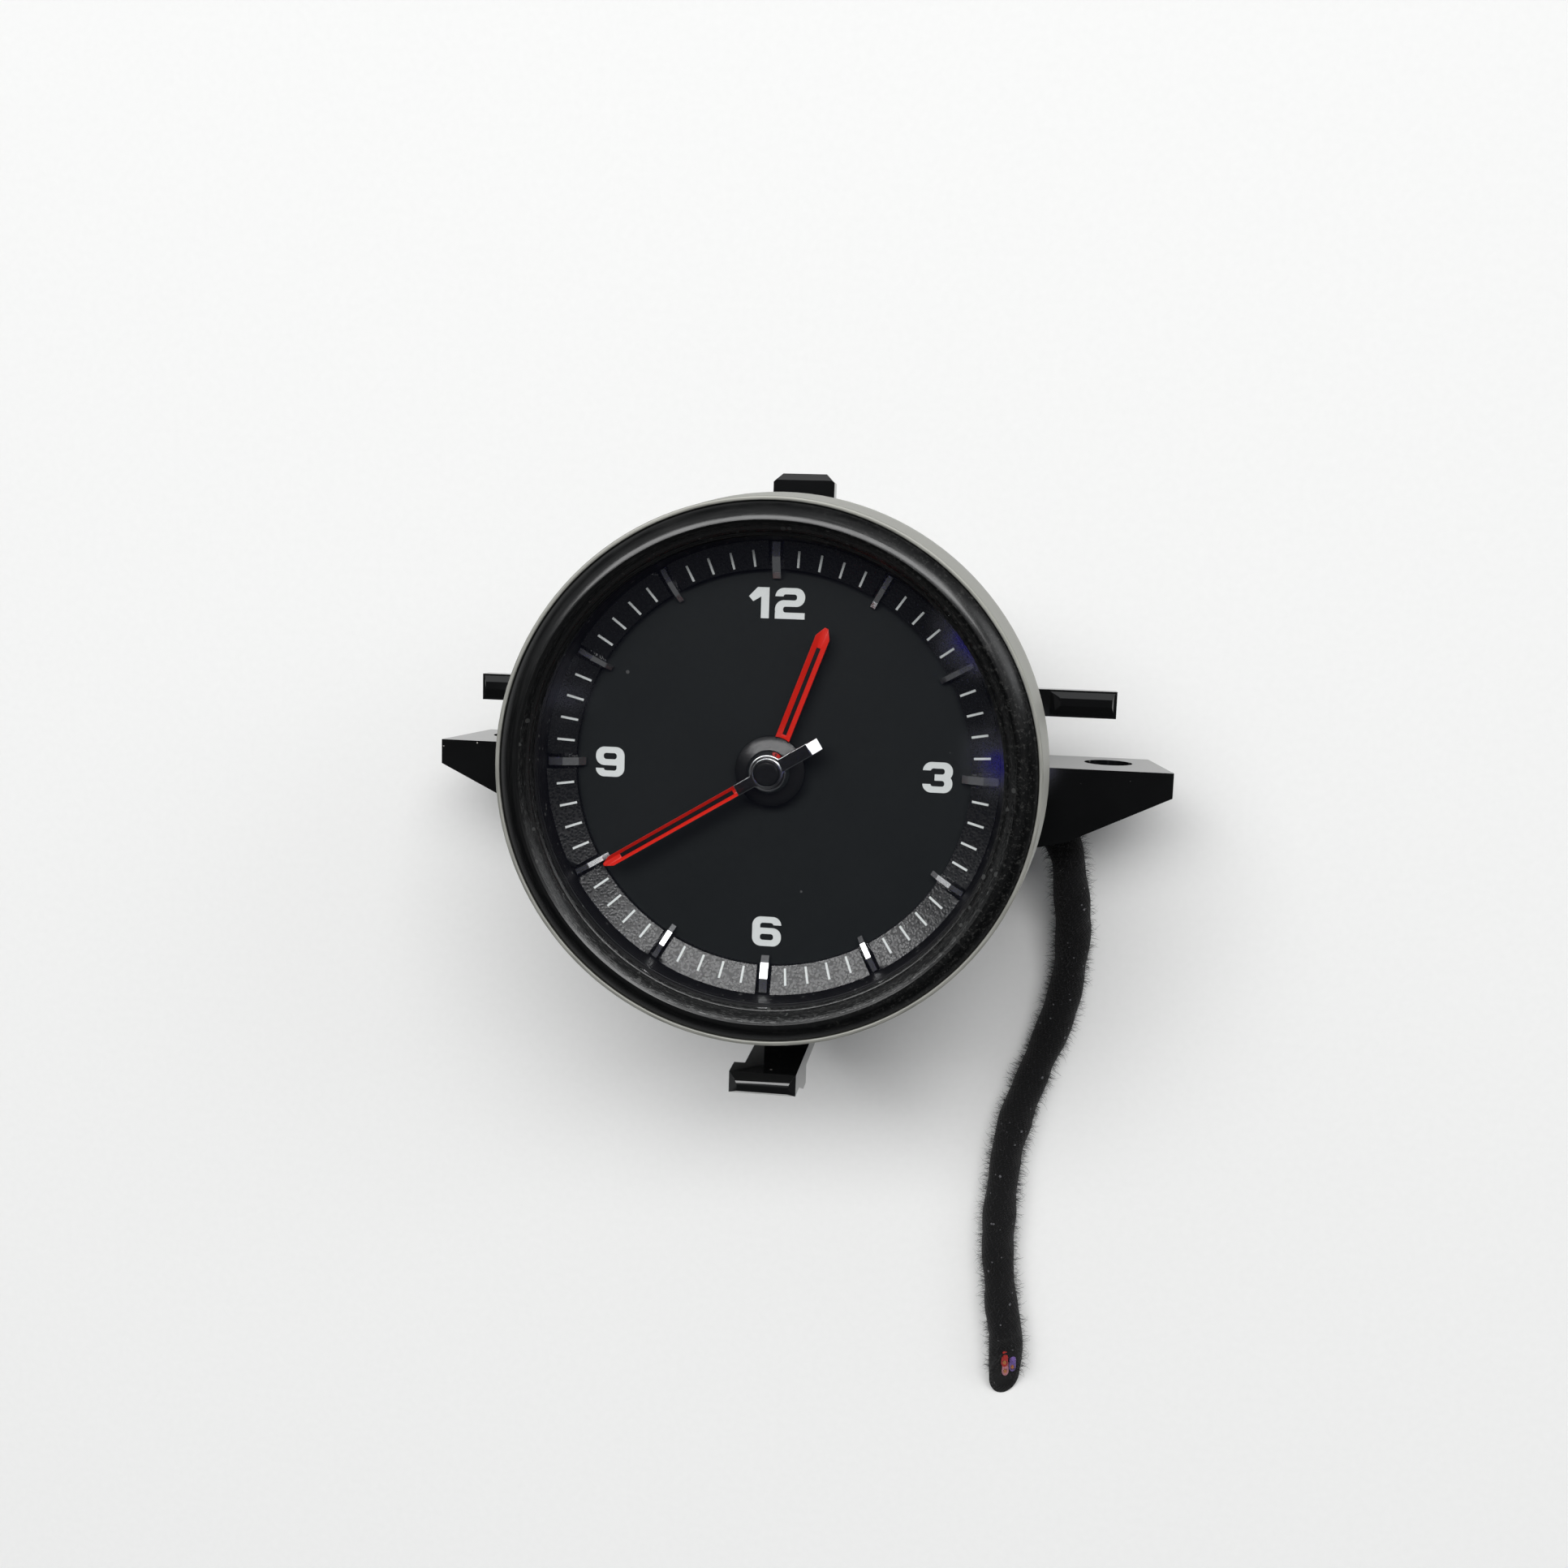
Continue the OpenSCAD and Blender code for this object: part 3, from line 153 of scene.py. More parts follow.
def tube(path, radius_at, sides, slant, shear_run, rim, deep):
    """A bmesh tube along a path. radius_at takes the length run and the angle.

    The far end is cut on a slant, which grows over shear_run, and has a rim round a hollow.
    """
    bm = bmesh.new()
    uv = bm.loops.layers.uv.new("UVMap")
    runs = [0]
    for a, b in zip(path, path[1:]):
        runs.append(runs[-1] + (b - a).length)
    whole = runs[-1]

    def ring_at(p, axes, run, less=0.0, back=0.0):
        t, u, v = axes
        share = max(0, 1 - (whole - run)/shear_run)
        ring = []
        for k in range(sides):
            a = 2*math.pi*k/sides
            r = radius_at(run, a) - less
            shift = -slant*r*math.sin(a)*share - back
            ring.append(bm.verts.new(p + u*(r*math.cos(a)) + v*(r*math.sin(a)) + t*shift))
        return ring

    frames = frames_along(path)
    rings = [ring_at(p, axes, run) for p, axes, run in zip(path, frames, runs)]
    rings.append(ring_at(path[-1], frames[-1], whole, rim))
    rings.append(ring_at(path[-1], frames[-1], whole, rim*1.1, deep))
    runs += [whole + rim, whole + rim + deep]
    for i in range(len(rings) - 1):
        for k in range(sides):
            n = (k + 1) % sides
            face = bm.faces.new((rings[i][k], rings[i][n], rings[i + 1][n], rings[i + 1][k]))
            marks = ((i, k), (i, k + 1), (i + 1, k + 1), (i + 1, k))
            for loop, (row, column) in zip(face.loops, marks):
                loop[uv].uv = (runs[row], column/sides)
    bm.faces.new(rings[0])
    bm.faces.new(rings[-1])
    return bm


# Loom: the route of the taped loom and what shows at its cut end, in millimetres
PLUG_TURN = math.radians(-14)
PLUG_REACH = 32
PLUG_HEIGHT = 8.5
CORD_STUB = 0.6
BEND_R = 10
BEND_TURN = math.radians(64)
BEND_STEPS = 6
BEND_DROP = 0.9
FLOOR_ROUTE = (
    (39.5, -19.2, 6.9), (40.1, -22.8, 6), (40.5, -27, 5), (40.4, -32, 3.9), (39.6, -38, 3.1),
    (38, -44, 2.8), (36.2, -49, 2.7), (34.6, -53.5, 2.7), (33.4, -58, 2.7), (32.5, -63, 2.7),
    (32, -69, 2.7), (31.8, -75, 2.7), (32.1, -81, 2.7), (32.9, -87.5, 2.7), (33.9, -93.4, 2.7),
    (33.9, -98.7, 2.7),
)
PATH_STEP = 0.4
LOOM_SIDES = 48
BUNDLE_R = 2.36
TAPE_PITCH = 8.2
TAPE_STEP = 0.16
END_SLANT = 1.85
END_SHEAR_RUN = 7
END_RIM = 0.42
END_DEEP = 0.5
plug_way = Vector((math.cos(PLUG_TURN), math.sin(PLUG_TURN), 0))
plug_end = PLUG_REACH*plug_way + Vector((0, 0, PLUG_HEIGHT))


def bend_point(f):
    """A point of the bend behind the plug, at a share of its turn."""
    side = Vector((math.sin(PLUG_TURN), -math.cos(PLUG_TURN), 0))
    a = f*BEND_TURN
    swept = BEND_R*(math.sin(a)*plug_way + (1 - math.cos(a))*side)
    return plug_end + CORD_STUB*plug_way + swept - Vector((0, 0, BEND_DROP*f*f))


def loom_radius(run, a):
    """Tape wound with an overlap, over a bundle that isn't quite round."""
    turn = (run/TAPE_PITCH + a/(2*math.pi) + 0.12*math.sin(run*0.21)) % 1
    lap = TAPE_STEP*min(1, turn/0.08)*(1 - 0.55*turn)
    lumps = 0.12*math.sin(run*0.37 + 1.3*math.sin(a)) + 0.08*math.sin(run*0.83 + 2*a)
    flat = 0.09*math.cos(2*a + run*0.06)
    return BUNDLE_R + lap + lumps + flat


route = [plug_end] + [bend_point(i/BEND_STEPS) for i in range(BEND_STEPS + 1)]
route += [Vector(p) for p in FLOOR_ROUTE]
loom_path = smooth_path(route, PATH_STEP)
loom_tip = loom_path[-1]
loom_mesh = tube(loom_path, loom_radius, LOOM_SIDES, END_SLANT, END_SHEAR_RUN, END_RIM, END_DEEP)
loom = add_mesh("loom_tape", loom_mesh, sharp=60)
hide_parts("loom")


# Fibres: short loose threads on the tape, in millimetres.
# The bare ends are counted in points of the path.
FIBRES = 9000
FIBRE_FOOT_R = 2.3
FIBRE_REACH = (0.4, 1.1)
LONG_FIBRE_REACH = (1.1, 1.9)
SHORT_SHARE = 0.8
FIBRE_R = (0.018, 0.032)
FIBRE_FLOOR_GAP = 0.03
BARE_START = 6
BARE_END = 2


def fuzz():
    """Loose fibres that stand out of the tape, as thin tapering threads of three sides."""
    bm = bmesh.new()
    frames = frames_along(loom_path)
    corners = [2*math.pi*k/3 for k in range(3)]
    for _ in range(FIBRES):
        i = rng.randrange(BARE_START, len(loom_path) - BARE_END)
        t, u, v = frames[i]
        a = rng.uniform(0, 2*math.pi)
        out = u*math.cos(a) + v*math.sin(a)
        foot = loom_path[i] + out*FIBRE_FOOT_R
        span = FIBRE_REACH if rng.random() < SHORT_SHARE else LONG_FIBRE_REACH
        reach = rng.uniform(*span)
        lean = t*rng.uniform(-0.9, 0.9) + out.cross(t)*rng.uniform(-0.7, 0.7)
        knee = foot + out*reach*0.6 + lean*reach*0.25
        tip = foot + out*reach + lean*reach*0.9
        if min(knee.z, tip.z) < FIBRE_FLOOR_GAP:
            continue
        thin = rng.uniform(*FIBRE_R)
        across = out.cross(lean).normalized() if lean.length > 0.05 else t
        other = out.cross(across).normalized()
        rings = []
        for p, r in ((foot, thin), (knee, thin*0.8)):
            rings.append([bm.verts.new(p + across*(r*math.cos(w)) + other*(r*math.sin(w)))
                          for w in corners])
        end = bm.verts.new(tip)
        bm.faces.new(rings[0])
        for k in range(3):
            n = (k + 1) % 3
            bm.faces.new((rings[0][k], rings[0][n], rings[1][n], rings[1][k]))
            bm.faces.new((rings[1][k], rings[1][n], end))
    return add_mesh("loom_fuzz", bm, sharp=180)


# Wires: their cut ends, in millimetres. Places are (across, up) from the loom's tip,
# and profiles are (radius, how far it stands out of the slanted cut).
WIRE_NAMES = ("wire_red", "wire_violet", "wire_pink")
WIRE_PLACES = ((-0.1, 1.85), (1.15, 1.4), (0.1, 0.8))
SLEEVE_SIDES = 24
SLEEVE_PROFILE = (
    (0.525, -0.45), (0.525, 0.72), (0.49, 0.78), (0.32, 0.78), (0.3, 0.74), (0.3, 0.6),
)
STRAND_SIDES = 10
STRAND_PROFILE = ((0.085, 0.55), (0.085, 0.74), (0.05, 0.78))
STRAND_OFF = 0.18
OUTER_STRANDS = 6


def wire_stub(name, across, up):
    """One cut wire: a sleeve with a slanted end round a core of seven strands."""
    bm = bmesh.new()
    centre = loom_tip + Vector((across, 0, up))

    def ring_of(x, z, r, stand, sides):
        made = []
        for k in range(sides):
            a = 2*math.pi*k/sides
            dx, dz = x + r*math.cos(a), z + r*math.sin(a)
            y = END_SLANT*(up + dz) - stand
            made.append(bm.verts.new((centre.x + dx, loom_tip.y + y, centre.z + dz)))
        return made

    def bridge(rings, slot):
        count = len(rings[0])
        faces = [bm.faces.new(rings[0]), bm.faces.new(rings[-1])]
        for first, second in zip(rings, rings[1:]):
            for k in range(count):
                n = (k + 1) % count
                faces.append(bm.faces.new((first[k], first[n], second[n], second[k])))
        for face in faces:
            face.material_index = slot

    bridge([ring_of(0, 0, r, stand, SLEEVE_SIDES) for r, stand in SLEEVE_PROFILE], 0)
    turns = [2*math.pi*k/OUTER_STRANDS for k in range(OUTER_STRANDS)]
    strands = [(STRAND_OFF*math.cos(a), STRAND_OFF*math.sin(a)) for a in turns] + [(0, 0)]
    for x, z in strands:
        bridge([ring_of(x, z, r, stand, STRAND_SIDES) for r, stand in STRAND_PROFILE], 1)
    piece = add_mesh(name, bm)
    return piece


wires = [wire_stub(name, *at) for name, at in zip(WIRE_NAMES, WIRE_PLACES)]
for wire in wires:
    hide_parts("wire_ends")
fibres = fuzz()


# Bezel: a smooth black lip, which laps over the sleeve's front edge and has fine steps inside.
# Places are (radius, height) in millimetres.
BEZEL_SEAT_R = 31.0
BEZEL_OUTER_R = 32.8
BEZEL_BORE_R = 28.8
BEZEL_REAR = 44.6
BEZEL_SHELF = 51.2
LAP_HEIGHT = 51.41
LAP_CENTRE, LAP_R = (32.92, 51.412), 0.25
SHOULDER_CENTRE, SHOULDER_R = (29.18, 47.726), 5.5
CREST_CENTRE, CREST_R = (30.304, 50.508), 2.5
CREST_INNER_R = 30.3
INNER_STEPS = (
    (30.56, 52.99), (CREST_INNER_R, 52.9), (29.2, 51.9), (29.12, 51.74), (29.02, 51.72),
    (28.86, 51.56), (BEZEL_BORE_R, 51.5),
)

lip = [(BEZEL_SEAT_R, BEZEL_REAR), (BEZEL_OUTER_R, BEZEL_REAR), (BEZEL_OUTER_R, LAP_HEIGHT)]
lip += arc(LAP_CENTRE, LAP_R, 0, 44, 7)
lip += arc(SHOULDER_CENTRE, SHOULDER_R, 45.5, 68, 10)
lip += arc(CREST_CENTRE, CREST_R, 69, 84, 8)
lip += [*INNER_STEPS, (BEZEL_BORE_R, BEZEL_SHELF), (BEZEL_SEAT_R, BEZEL_SHELF)]
bezel = lathe("bezel_lip", lip)
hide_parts("bezel")


# Helpers for node trees
def material(name):
    """A new material with its node tree and its shader."""
    made = bpy.data.materials.new(name)
    made.use_nodes = True
    tree = made.node_tree
    tree.nodes.clear()
    out = tree.nodes.new("ShaderNodeOutputMaterial")
    shader = tree.nodes.new("ShaderNodeBsdfPrincipled")
    tree.links.new(shader.outputs["BSDF"], out.inputs["Surface"])
    return made, tree, shader


def plug_in(tree, socket, value):
    """Links an output socket to an input, or sets the input to a value."""
    if isinstance(value, bpy.types.NodeSocket):
        tree.links.new(value, socket)
    else:
        socket.default_value = value


def add(tree, kind, settings=None, **inputs):
    """Adds a node. An input is named, or numbered as _0, and takes a value or an output socket."""
    made = tree.nodes.new("ShaderNode" + kind)
    for key, value in (settings or {}).items():
        setattr(made, key, value)
    for key, value in inputs.items():
        numbered = key[0] == "_"
        socket = made.inputs[int(key[1:]) if numbered else key.replace("_", " ")]
        plug_in(tree, socket, value)
    return made


def place(tree, kind="Object"):
    """Texture coordinates."""
    return add(tree, "TexCoord").outputs[kind]


def noise(tree, at, scale, detail=3, rough=0.55):
    """Noise from 0 to 1. The scale is cells per unit of the coordinates."""
    made = add(tree, "TexNoise", Vector=at, Scale=scale, Detail=detail, Roughness=rough)
    return made.outputs["Fac"]


def spread(tree, value, low, high, to_low=0.0, to_high=1.0, soft=False):
    """Maps low to to_low and high to to_high, and holds the ends."""
    made = add(tree, "MapRange", {"interpolation_type": "SMOOTHSTEP" if soft else "LINEAR"},
               Value=value, From_Min=low, From_Max=high, To_Min=to_low, To_Max=to_high)
    return made.outputs["Result"]


def mix(tree, factor, a, b):
    """A colour between a and b."""
    made = add(tree, "MixRGB", Fac=factor)
    for socket, value in ((made.inputs["Color1"], a), (made.inputs["Color2"], b)):
        if not isinstance(value, bpy.types.NodeSocket):
            value = (*value, 1)
        plug_in(tree, socket, value)
    return made.outputs["Color"]


def calc(tree, operation, a, b=0.0):
    """The result of a Math node."""
    return add(tree, "Math", {"operation": operation}, _0=a, _1=b).outputs["Value"]


def times(tree, a, b):
    """The product of two values."""
    return calc(tree, "MULTIPLY", a, b)


def plus(tree, a, b):
    """The sum of two values."""
    return calc(tree, "ADD", a, b)


def apart(tree, at, point):
    """The distance between coordinates and a fixed point."""
    made = add(tree, "VectorMath", {"operation": "DISTANCE"}, _0=at, _1=point)
    return made.outputs["Value"]


def specks(tree, at, scale, size):
    """A mask of small round specks of many sizes, up to size of a cell."""
    cells = add(tree, "TexVoronoi", Vector=at, Scale=scale)
    chance = add(tree, "SeparateColor", Color=cells.outputs["Color"]).outputs["Red"]
    reach = times(tree, calc(tree, "POWER", chance, 6.0), size)
    return calc(tree, "LESS_THAN", cells.outputs["Distance"], reach)


def polar(tree):
    """Distance from the dial's axis, the way out from it as X and Y, and height, in metres."""
    parts = add(tree, "SeparateXYZ", Vector=place(tree)).outputs
    flat = add(tree, "CombineXYZ", X=parts["X"], Y=parts["Y"]).outputs["Vector"]
    radius = add(tree, "VectorMath", {"operation": "LENGTH"}, _0=flat).outputs["Value"]
    way_out = add(tree, "VectorMath", {"operation": "NORMALIZE"}, _0=flat).outputs["Vector"]
    return radius, add(tree, "SeparateXYZ", Vector=way_out).outputs, parts["Z"]


def round_noise(tree, around, across, detail=3, rough=0.55):
    """Noise that runs round the dial's axis, in long streaks.

    around is cells per radian, and across is cells per metre.
    """
    radius, way_out, height = polar(tree)
    at = add(tree, "CombineXYZ", X=times(tree, way_out["X"], around),
             Y=times(tree, way_out["Y"], around),
             Z=times(tree, plus(tree, radius, height), across)).outputs["Vector"]
    return noise(tree, at, 1, detail, rough)


def shade(color, factor):
    """A colour made lighter or darker."""
    return tuple(min(1, c*factor) for c in color)


def raise_surface(tree, shader, height, strength, deep):
    """Bump from a height, with its depth in millimetres."""
    raised = add(tree, "Bump", Strength=strength, Distance=deep*MM, Height=height)
    plug_in(tree, shader.inputs["Normal"], raised.outputs["Normal"])


def set_sockets(shader, sockets):
    """Sets the shader's own sockets, whose names have _ for a space."""
    for key, value in sockets.items():
        shader.inputs[key.replace("_", " ")].default_value = value


# Kinds of surface
def grained(name, color, rough, vary=0.2, grain=2500, bump=0.15, dust=0.0, dust_scale=900,
            dust_color=(0.3, 0.29, 0.27), **sockets):
    """A moulded, painted or metal surface with clouding, a fine grain and a little dust."""
    made, tree, shader = material(name)
    at = place(tree)
    clouds = noise(tree, at, 90, 4)
    paint = mix(tree, spread(tree, clouds, 0.3, 0.7), shade(color, 1 - vary),
                shade(color, 1 + vary))
    if dust:
        paint = mix(tree, specks(tree, at, dust_scale, dust), paint, dust_color)
    plug_in(tree, shader.inputs["Base Color"], paint)
    plug_in(tree, shader.inputs["Roughness"],
            spread(tree, clouds, 0.25, 0.75, rough*0.88, min(1, rough*1.12)))
    raise_surface(tree, shader, noise(tree, at, grain, 2), bump, 0.04)
    set_sockets(shader, sockets)
    return made


def turned(name, color, rough, streak, around, across, **sockets):
    """A surface turned about the dial's axis, with streaks round it."""
    made, tree, shader = material(name)
    streaks = round_noise(tree, around, across)
    paint = mix(tree, spread(tree, streaks, 0.35, 0.65), shade(color, 1 - streak),
                shade(color, 1 + streak))
    plug_in(tree, shader.inputs["Base Color"], paint)
    plug_in(tree, shader.inputs["Roughness"],
            spread(tree, streaks, 0.3, 0.7, rough*0.8, min(1, rough*1.2)))
    raise_surface(tree, shader, streaks, 0.25, 0.02)
    set_sockets(shader, sockets)
    return made


def bezel_with_dust_and_painted_light(name):
    """Black plastic, smooth outside. Inside the crest, real dust is painted lighter toward the
    bottom, which is painted light; at the right, scuffs that are partly a painted highlight.
    """
    made, tree, shader = material(name)
    at = place(tree)
    radius, way_out, height = polar(tree)
    streaks = round_noise(tree, 9, 7000)
    crest = CREST_INNER_R*MM
    shelf = BEZEL_SHELF*MM
    inside = times(tree, spread(tree, radius, crest - 0.1*MM, crest, 1, 0),
                   spread(tree, height, shelf - 0.1*MM, shelf + 0.2*MM))
    toward_crest = spread(tree, radius, crest - 0.6*MM, crest, 0, 0.08)
    lumps = plus(tree, round_noise(tree, 35, 5000, 5, 0.8), toward_crest)
    dust = calc(tree, "MAXIMUM", spread(tree, lumps, 0.55, 0.62),
                times(tree, specks(tree, at, 1300, 0.45), 3.0))
    # Painted light: the real dust is lighter toward the bottom, where the inner slope faces the
    # lamp, and fainter at the top, which is painted shade.
    toward_bottom = spread(tree, way_out["Y"], 0.3, -0.8, 0.15, 1)
    dust_and_painted_light = times(tree, times(tree, inside, dust), toward_bottom)
    # Painted highlight: pale scuffs, mostly at the right where the crest's highlight falls; partly
    # real wear.
    toward_right = spread(tree, way_out["X"], 0, 0.8, 0.03, 0.5)
    scuffs_and_painted_highlight = times(tree, spread(tree, noise(tree, at, 1900, 5, 0.8), 0.53, 0.66), toward_right)
    paint = mix(tree, spread(tree, streaks, 0.45, 0.75), (0.0026, 0.0028, 0.003),
                (0.0055, 0.0055, 0.0055))
    paint = mix(tree, scuffs_and_painted_highlight, paint, (0.06, 0.06, 0.057))
    paint = mix(tree, dust_and_painted_light, paint, (0.045, 0.046, 0.045))
    plug_in(tree, shader.inputs["Base Color"], paint)
    worn = spread(tree, streaks, 0.3, 0.75, 0.14, 0.28)
    plug_in(tree, shader.inputs["Roughness"], plus(tree, worn, times(tree, inside, 0.05)))
    raise_surface(tree, shader, plus(tree, streaks, times(tree, dust_and_painted_light, 6.0)), 0.12, 0.03)
    shader.inputs["Specular IOR Level"].default_value = 0.42
    return made


def pitted(name, color, rough, scale, **sockets):
    """A grainy casting: rounded grains with dark pits between them."""
    made, tree, shader = material(name)
    at = place(tree)
    wander = add(tree, "TexNoise", Vector=at, Scale=scale*0.6, Detail=2).outputs["Color"]
    bent = add(tree, "VectorMath", {"operation": "MULTIPLY_ADD"}, _0=wander,
               _1=(0.05*MM, 0.05*MM, 0.05*MM), _2=at).outputs["Vector"]
    cells = add(tree, "TexVoronoi", Vector=bent, Scale=scale).outputs["Distance"]
    grain = plus(tree, spread(tree, cells, 0.1, 0.8, 1, 0),
                 times(tree, noise(tree, at, scale*1.7, 2), 0.5))
    paint = mix(tree, spread(tree, grain, 0.3, 1), shade(color, 0.2), shade(color, 1.5))
    plug_in(tree, shader.inputs["Base Color"], paint)
    plug_in(tree, shader.inputs["Roughness"], spread(tree, grain, 0.3, 1, rough*1.8, rough*0.9))
    raise_surface(tree, shader, grain, 0.36, 0.04)
    set_sockets(shader, sockets)
    return made


def ridged(name, color, rough, pitch):
    """Dark plastic with fine ridges round the dial's axis and a little dust."""
    made, tree, shader = material(name)
    height = add(tree, "SeparateXYZ", Vector=place(tree)).outputs["Z"]
    wave = calc(tree, "SINE", times(tree, height, 2*math.pi/(pitch*MM)))
    fine = round_noise(tree, 7, 5000)
    paint = mix(tree, spread(tree, fine, 0.45, 0.75), color, shade(color, 3))
    paint = mix(tree, specks(tree, place(tree), 1500, 0.4), paint, (0.12, 0.12, 0.115))
    plug_in(tree, shader.inputs["Base Color"], paint)
    shader.inputs["Roughness"].default_value = rough
    shader.inputs["Specular IOR Level"].default_value = 0.3
    raise_surface(tree, shader, plus(tree, wave, fine), 0.6, 0.04)
    return made


def see_through(name, color, alpha, rough, **sockets):
    """Clear plastic that lets the light through without bending it, with faint smears."""
    made, tree, shader = material(name)
    smears = noise(tree, place(tree), 60, 4)
    plug_in(tree, shader.inputs["Base Color"],
            mix(tree, smears, shade(color, 0.9), shade(color, 1.1)))
    plug_in(tree, shader.inputs["Roughness"], spread(tree, smears, 0.3, 0.7, rough, rough*2.5))
    shader.inputs["Alpha"].default_value = alpha
    set_sockets(shader, sockets)
    return made


def woven(name, color, thread, threads_round):
    """Cloth tape: ridges of a thread's pitch along and round the loom, their crests painted lighter
    as a painted sheen, with pale fluff.
    """
    made, tree, shader = material(name)
    parts = add(tree, "SeparateXYZ", Vector=place(tree, "UV")).outputs
    along = times(tree, parts["X"], 2*math.pi/thread)
    around = plus(tree, times(tree, parts["Y"], 2*math.pi*threads_round), times(tree, along, 0.5))
    weave = times(tree, calc(tree, "SINE", along), calc(tree, "SINE", around))
    fluff = noise(tree, place(tree), 1800, 5, 0.7)
    stretched = add(tree, "CombineXYZ", X=parts["X"],
                    Y=times(tree, parts["Y"], 15)).outputs["Vector"]
    # Painted highlight: the weave's crests are painted lighter, as sheen on the raised threads.
    paint = mix(tree, spread(tree, weave, 0.55, 0.95), color, shade(color, 2.4))
    paint = mix(tree, specks(tree, stretched, 1.3, 0.3), paint, shade(color, 28))
    paint = mix(tree, spread(tree, fluff, 0.66, 0.8), paint, shade(color, 5))
    plug_in(tree, shader.inputs["Base Color"], paint)
    shader.inputs["Roughness"].default_value = 0.9
    shader.inputs["Sheen Weight"].default_value = 0.08
    shader.inputs["Specular IOR Level"].default_value = 0.2
    raise_surface(tree, shader, plus(tree, spread(tree, weave, -1, 1), fluff), 0.7, 0.1)
    return made


# Materials
black_bezel = bezel_with_dust_and_painted_light("bezel_black")
spacer_black = ridged("spacer_black", (0.004, 0.004, 0.0044), rough=0.5, pitch=0.33)
silver = turned("trim_silver", (0.3, 0.3, 0.272), 0.5, streak=0.12, around=8, across=7000,
                Metallic=0.55)
rubber = grained("seal_rubber", (0.012, 0.012, 0.012), 0.7)
ring_grey = pitted("ring_grey", (0.004, 0.0044, 0.0048), 0.2, 2900, Specular_IOR_Level=0.58)
white_print = grained("print_white", (0.88, 0.92, 0.91), 0.5, vary=0.03, grain=7000, bump=0.1)
chrome = grained("boss_chrome", (0.82, 0.83, 0.84), 0.1, vary=0.03, grain=1500, bump=0.05,
                 Metallic=1.0)
bar_bright = grained("bar_bright", (0.8, 0.81, 0.82), 0.2, vary=0.05, grain=2500, bump=0.1,
                     Metallic=1.0)
dial_black = grained("dial_black", (0.0106, 0.0128, 0.0126), 0.55, vary=0.06, grain=9000,
                     bump=0.15, dust=0.1, dust_scale=220, dust_color=(0.09, 0.09, 0.09),
                     Specular_IOR_Level=0.15)
red = grained("hand_red", (0.8, 0.02, 0.008), 0.3, vary=0.06, grain=3000, bump=0.04)
inlay = grained("inlay_black", (0.006, 0.005, 0.005), 0.3)
hub_black = grained("hub_black", (0.007, 0.0075, 0.0075), 0.25, bump=0.01,
                    Specular_IOR_Level=0.5)
housing_black = grained("housing_black", (0.0055, 0.0057, 0.006), 0.03, grain=5200, bump=0.014,
                        dust=0.12, dust_scale=600)
plug_black = grained("plug_black", (0.012, 0.012, 0.0125), 0.4)
steel = grained("steel", (0.55, 0.56, 0.57), 0.3, vary=0.08, Metallic=1.0)
brass = grained("brass", (0.72, 0.5, 0.18), 0.28, vary=0.08, Metallic=1.0)
gear_plastic = grained("gear_plastic", (0.72, 0.69, 0.6), 0.45, vary=0.05)
magnet = grained("magnet_dark", (0.05, 0.05, 0.055), 0.35, Metallic=0.8)
copper = grained("copper", (0.7, 0.28, 0.12), 0.3, grain=9000, bump=0.5, Metallic=1.0)
plate_plastic = grained("plate_plastic", (0.6, 0.57, 0.47), 0.5, vary=0.05)
board_green = grained("board_green", (0.012, 0.13, 0.05), 0.3, vary=0.15)
chip_black = grained("chip_black", (0.015, 0.015, 0.016), 0.5)
tin = grained("contact_tin", (0.72, 0.6, 0.3), 0.3, Metallic=1.0)
lamp_white = grained("lamp_white", (0.85, 0.8, 0.6), 0.2, vary=0.03)
lens_clear = see_through("lens_clear", (0.01, 0.011, 0.02), 0.1, 0.03, Coat_Weight=1.0,
                         Coat_IOR=1.8)
guide_clear = see_through("guide_clear", (0.7, 0.74, 0.72), 0.55, 0.1)
tape = woven("loom_tape", (0.0045, 0.0045, 0.0048), thread=0.7, threads_round=24)
fluff_grey = grained("loom_fluff", (0.03, 0.03, 0.031), 0.85, vary=0.5)
strand_copper = grained("strand_copper", (0.85, 0.33, 0.12), 0.35, grain=4000, Metallic=0.7)
SLEEVE_COLORS = ((0.42, 0.03, 0.025), (0.16, 0.1, 0.32), (0.5, 0.2, 0.23))
sleeves = [grained(name + "_pvc", color, 0.4, grain=4000, vary=0.1)
           for name, color in zip(WIRE_NAMES, SLEEVE_COLORS)]

bezel.data.materials.append(black_bezel)
loom.data.materials.append(tape)
fibres.data.materials.append(fluff_grey)
for wire, sleeve in zip(wires, sleeves):
    wire.data.materials.append(sleeve)
    wire.data.materials.append(strand_copper)

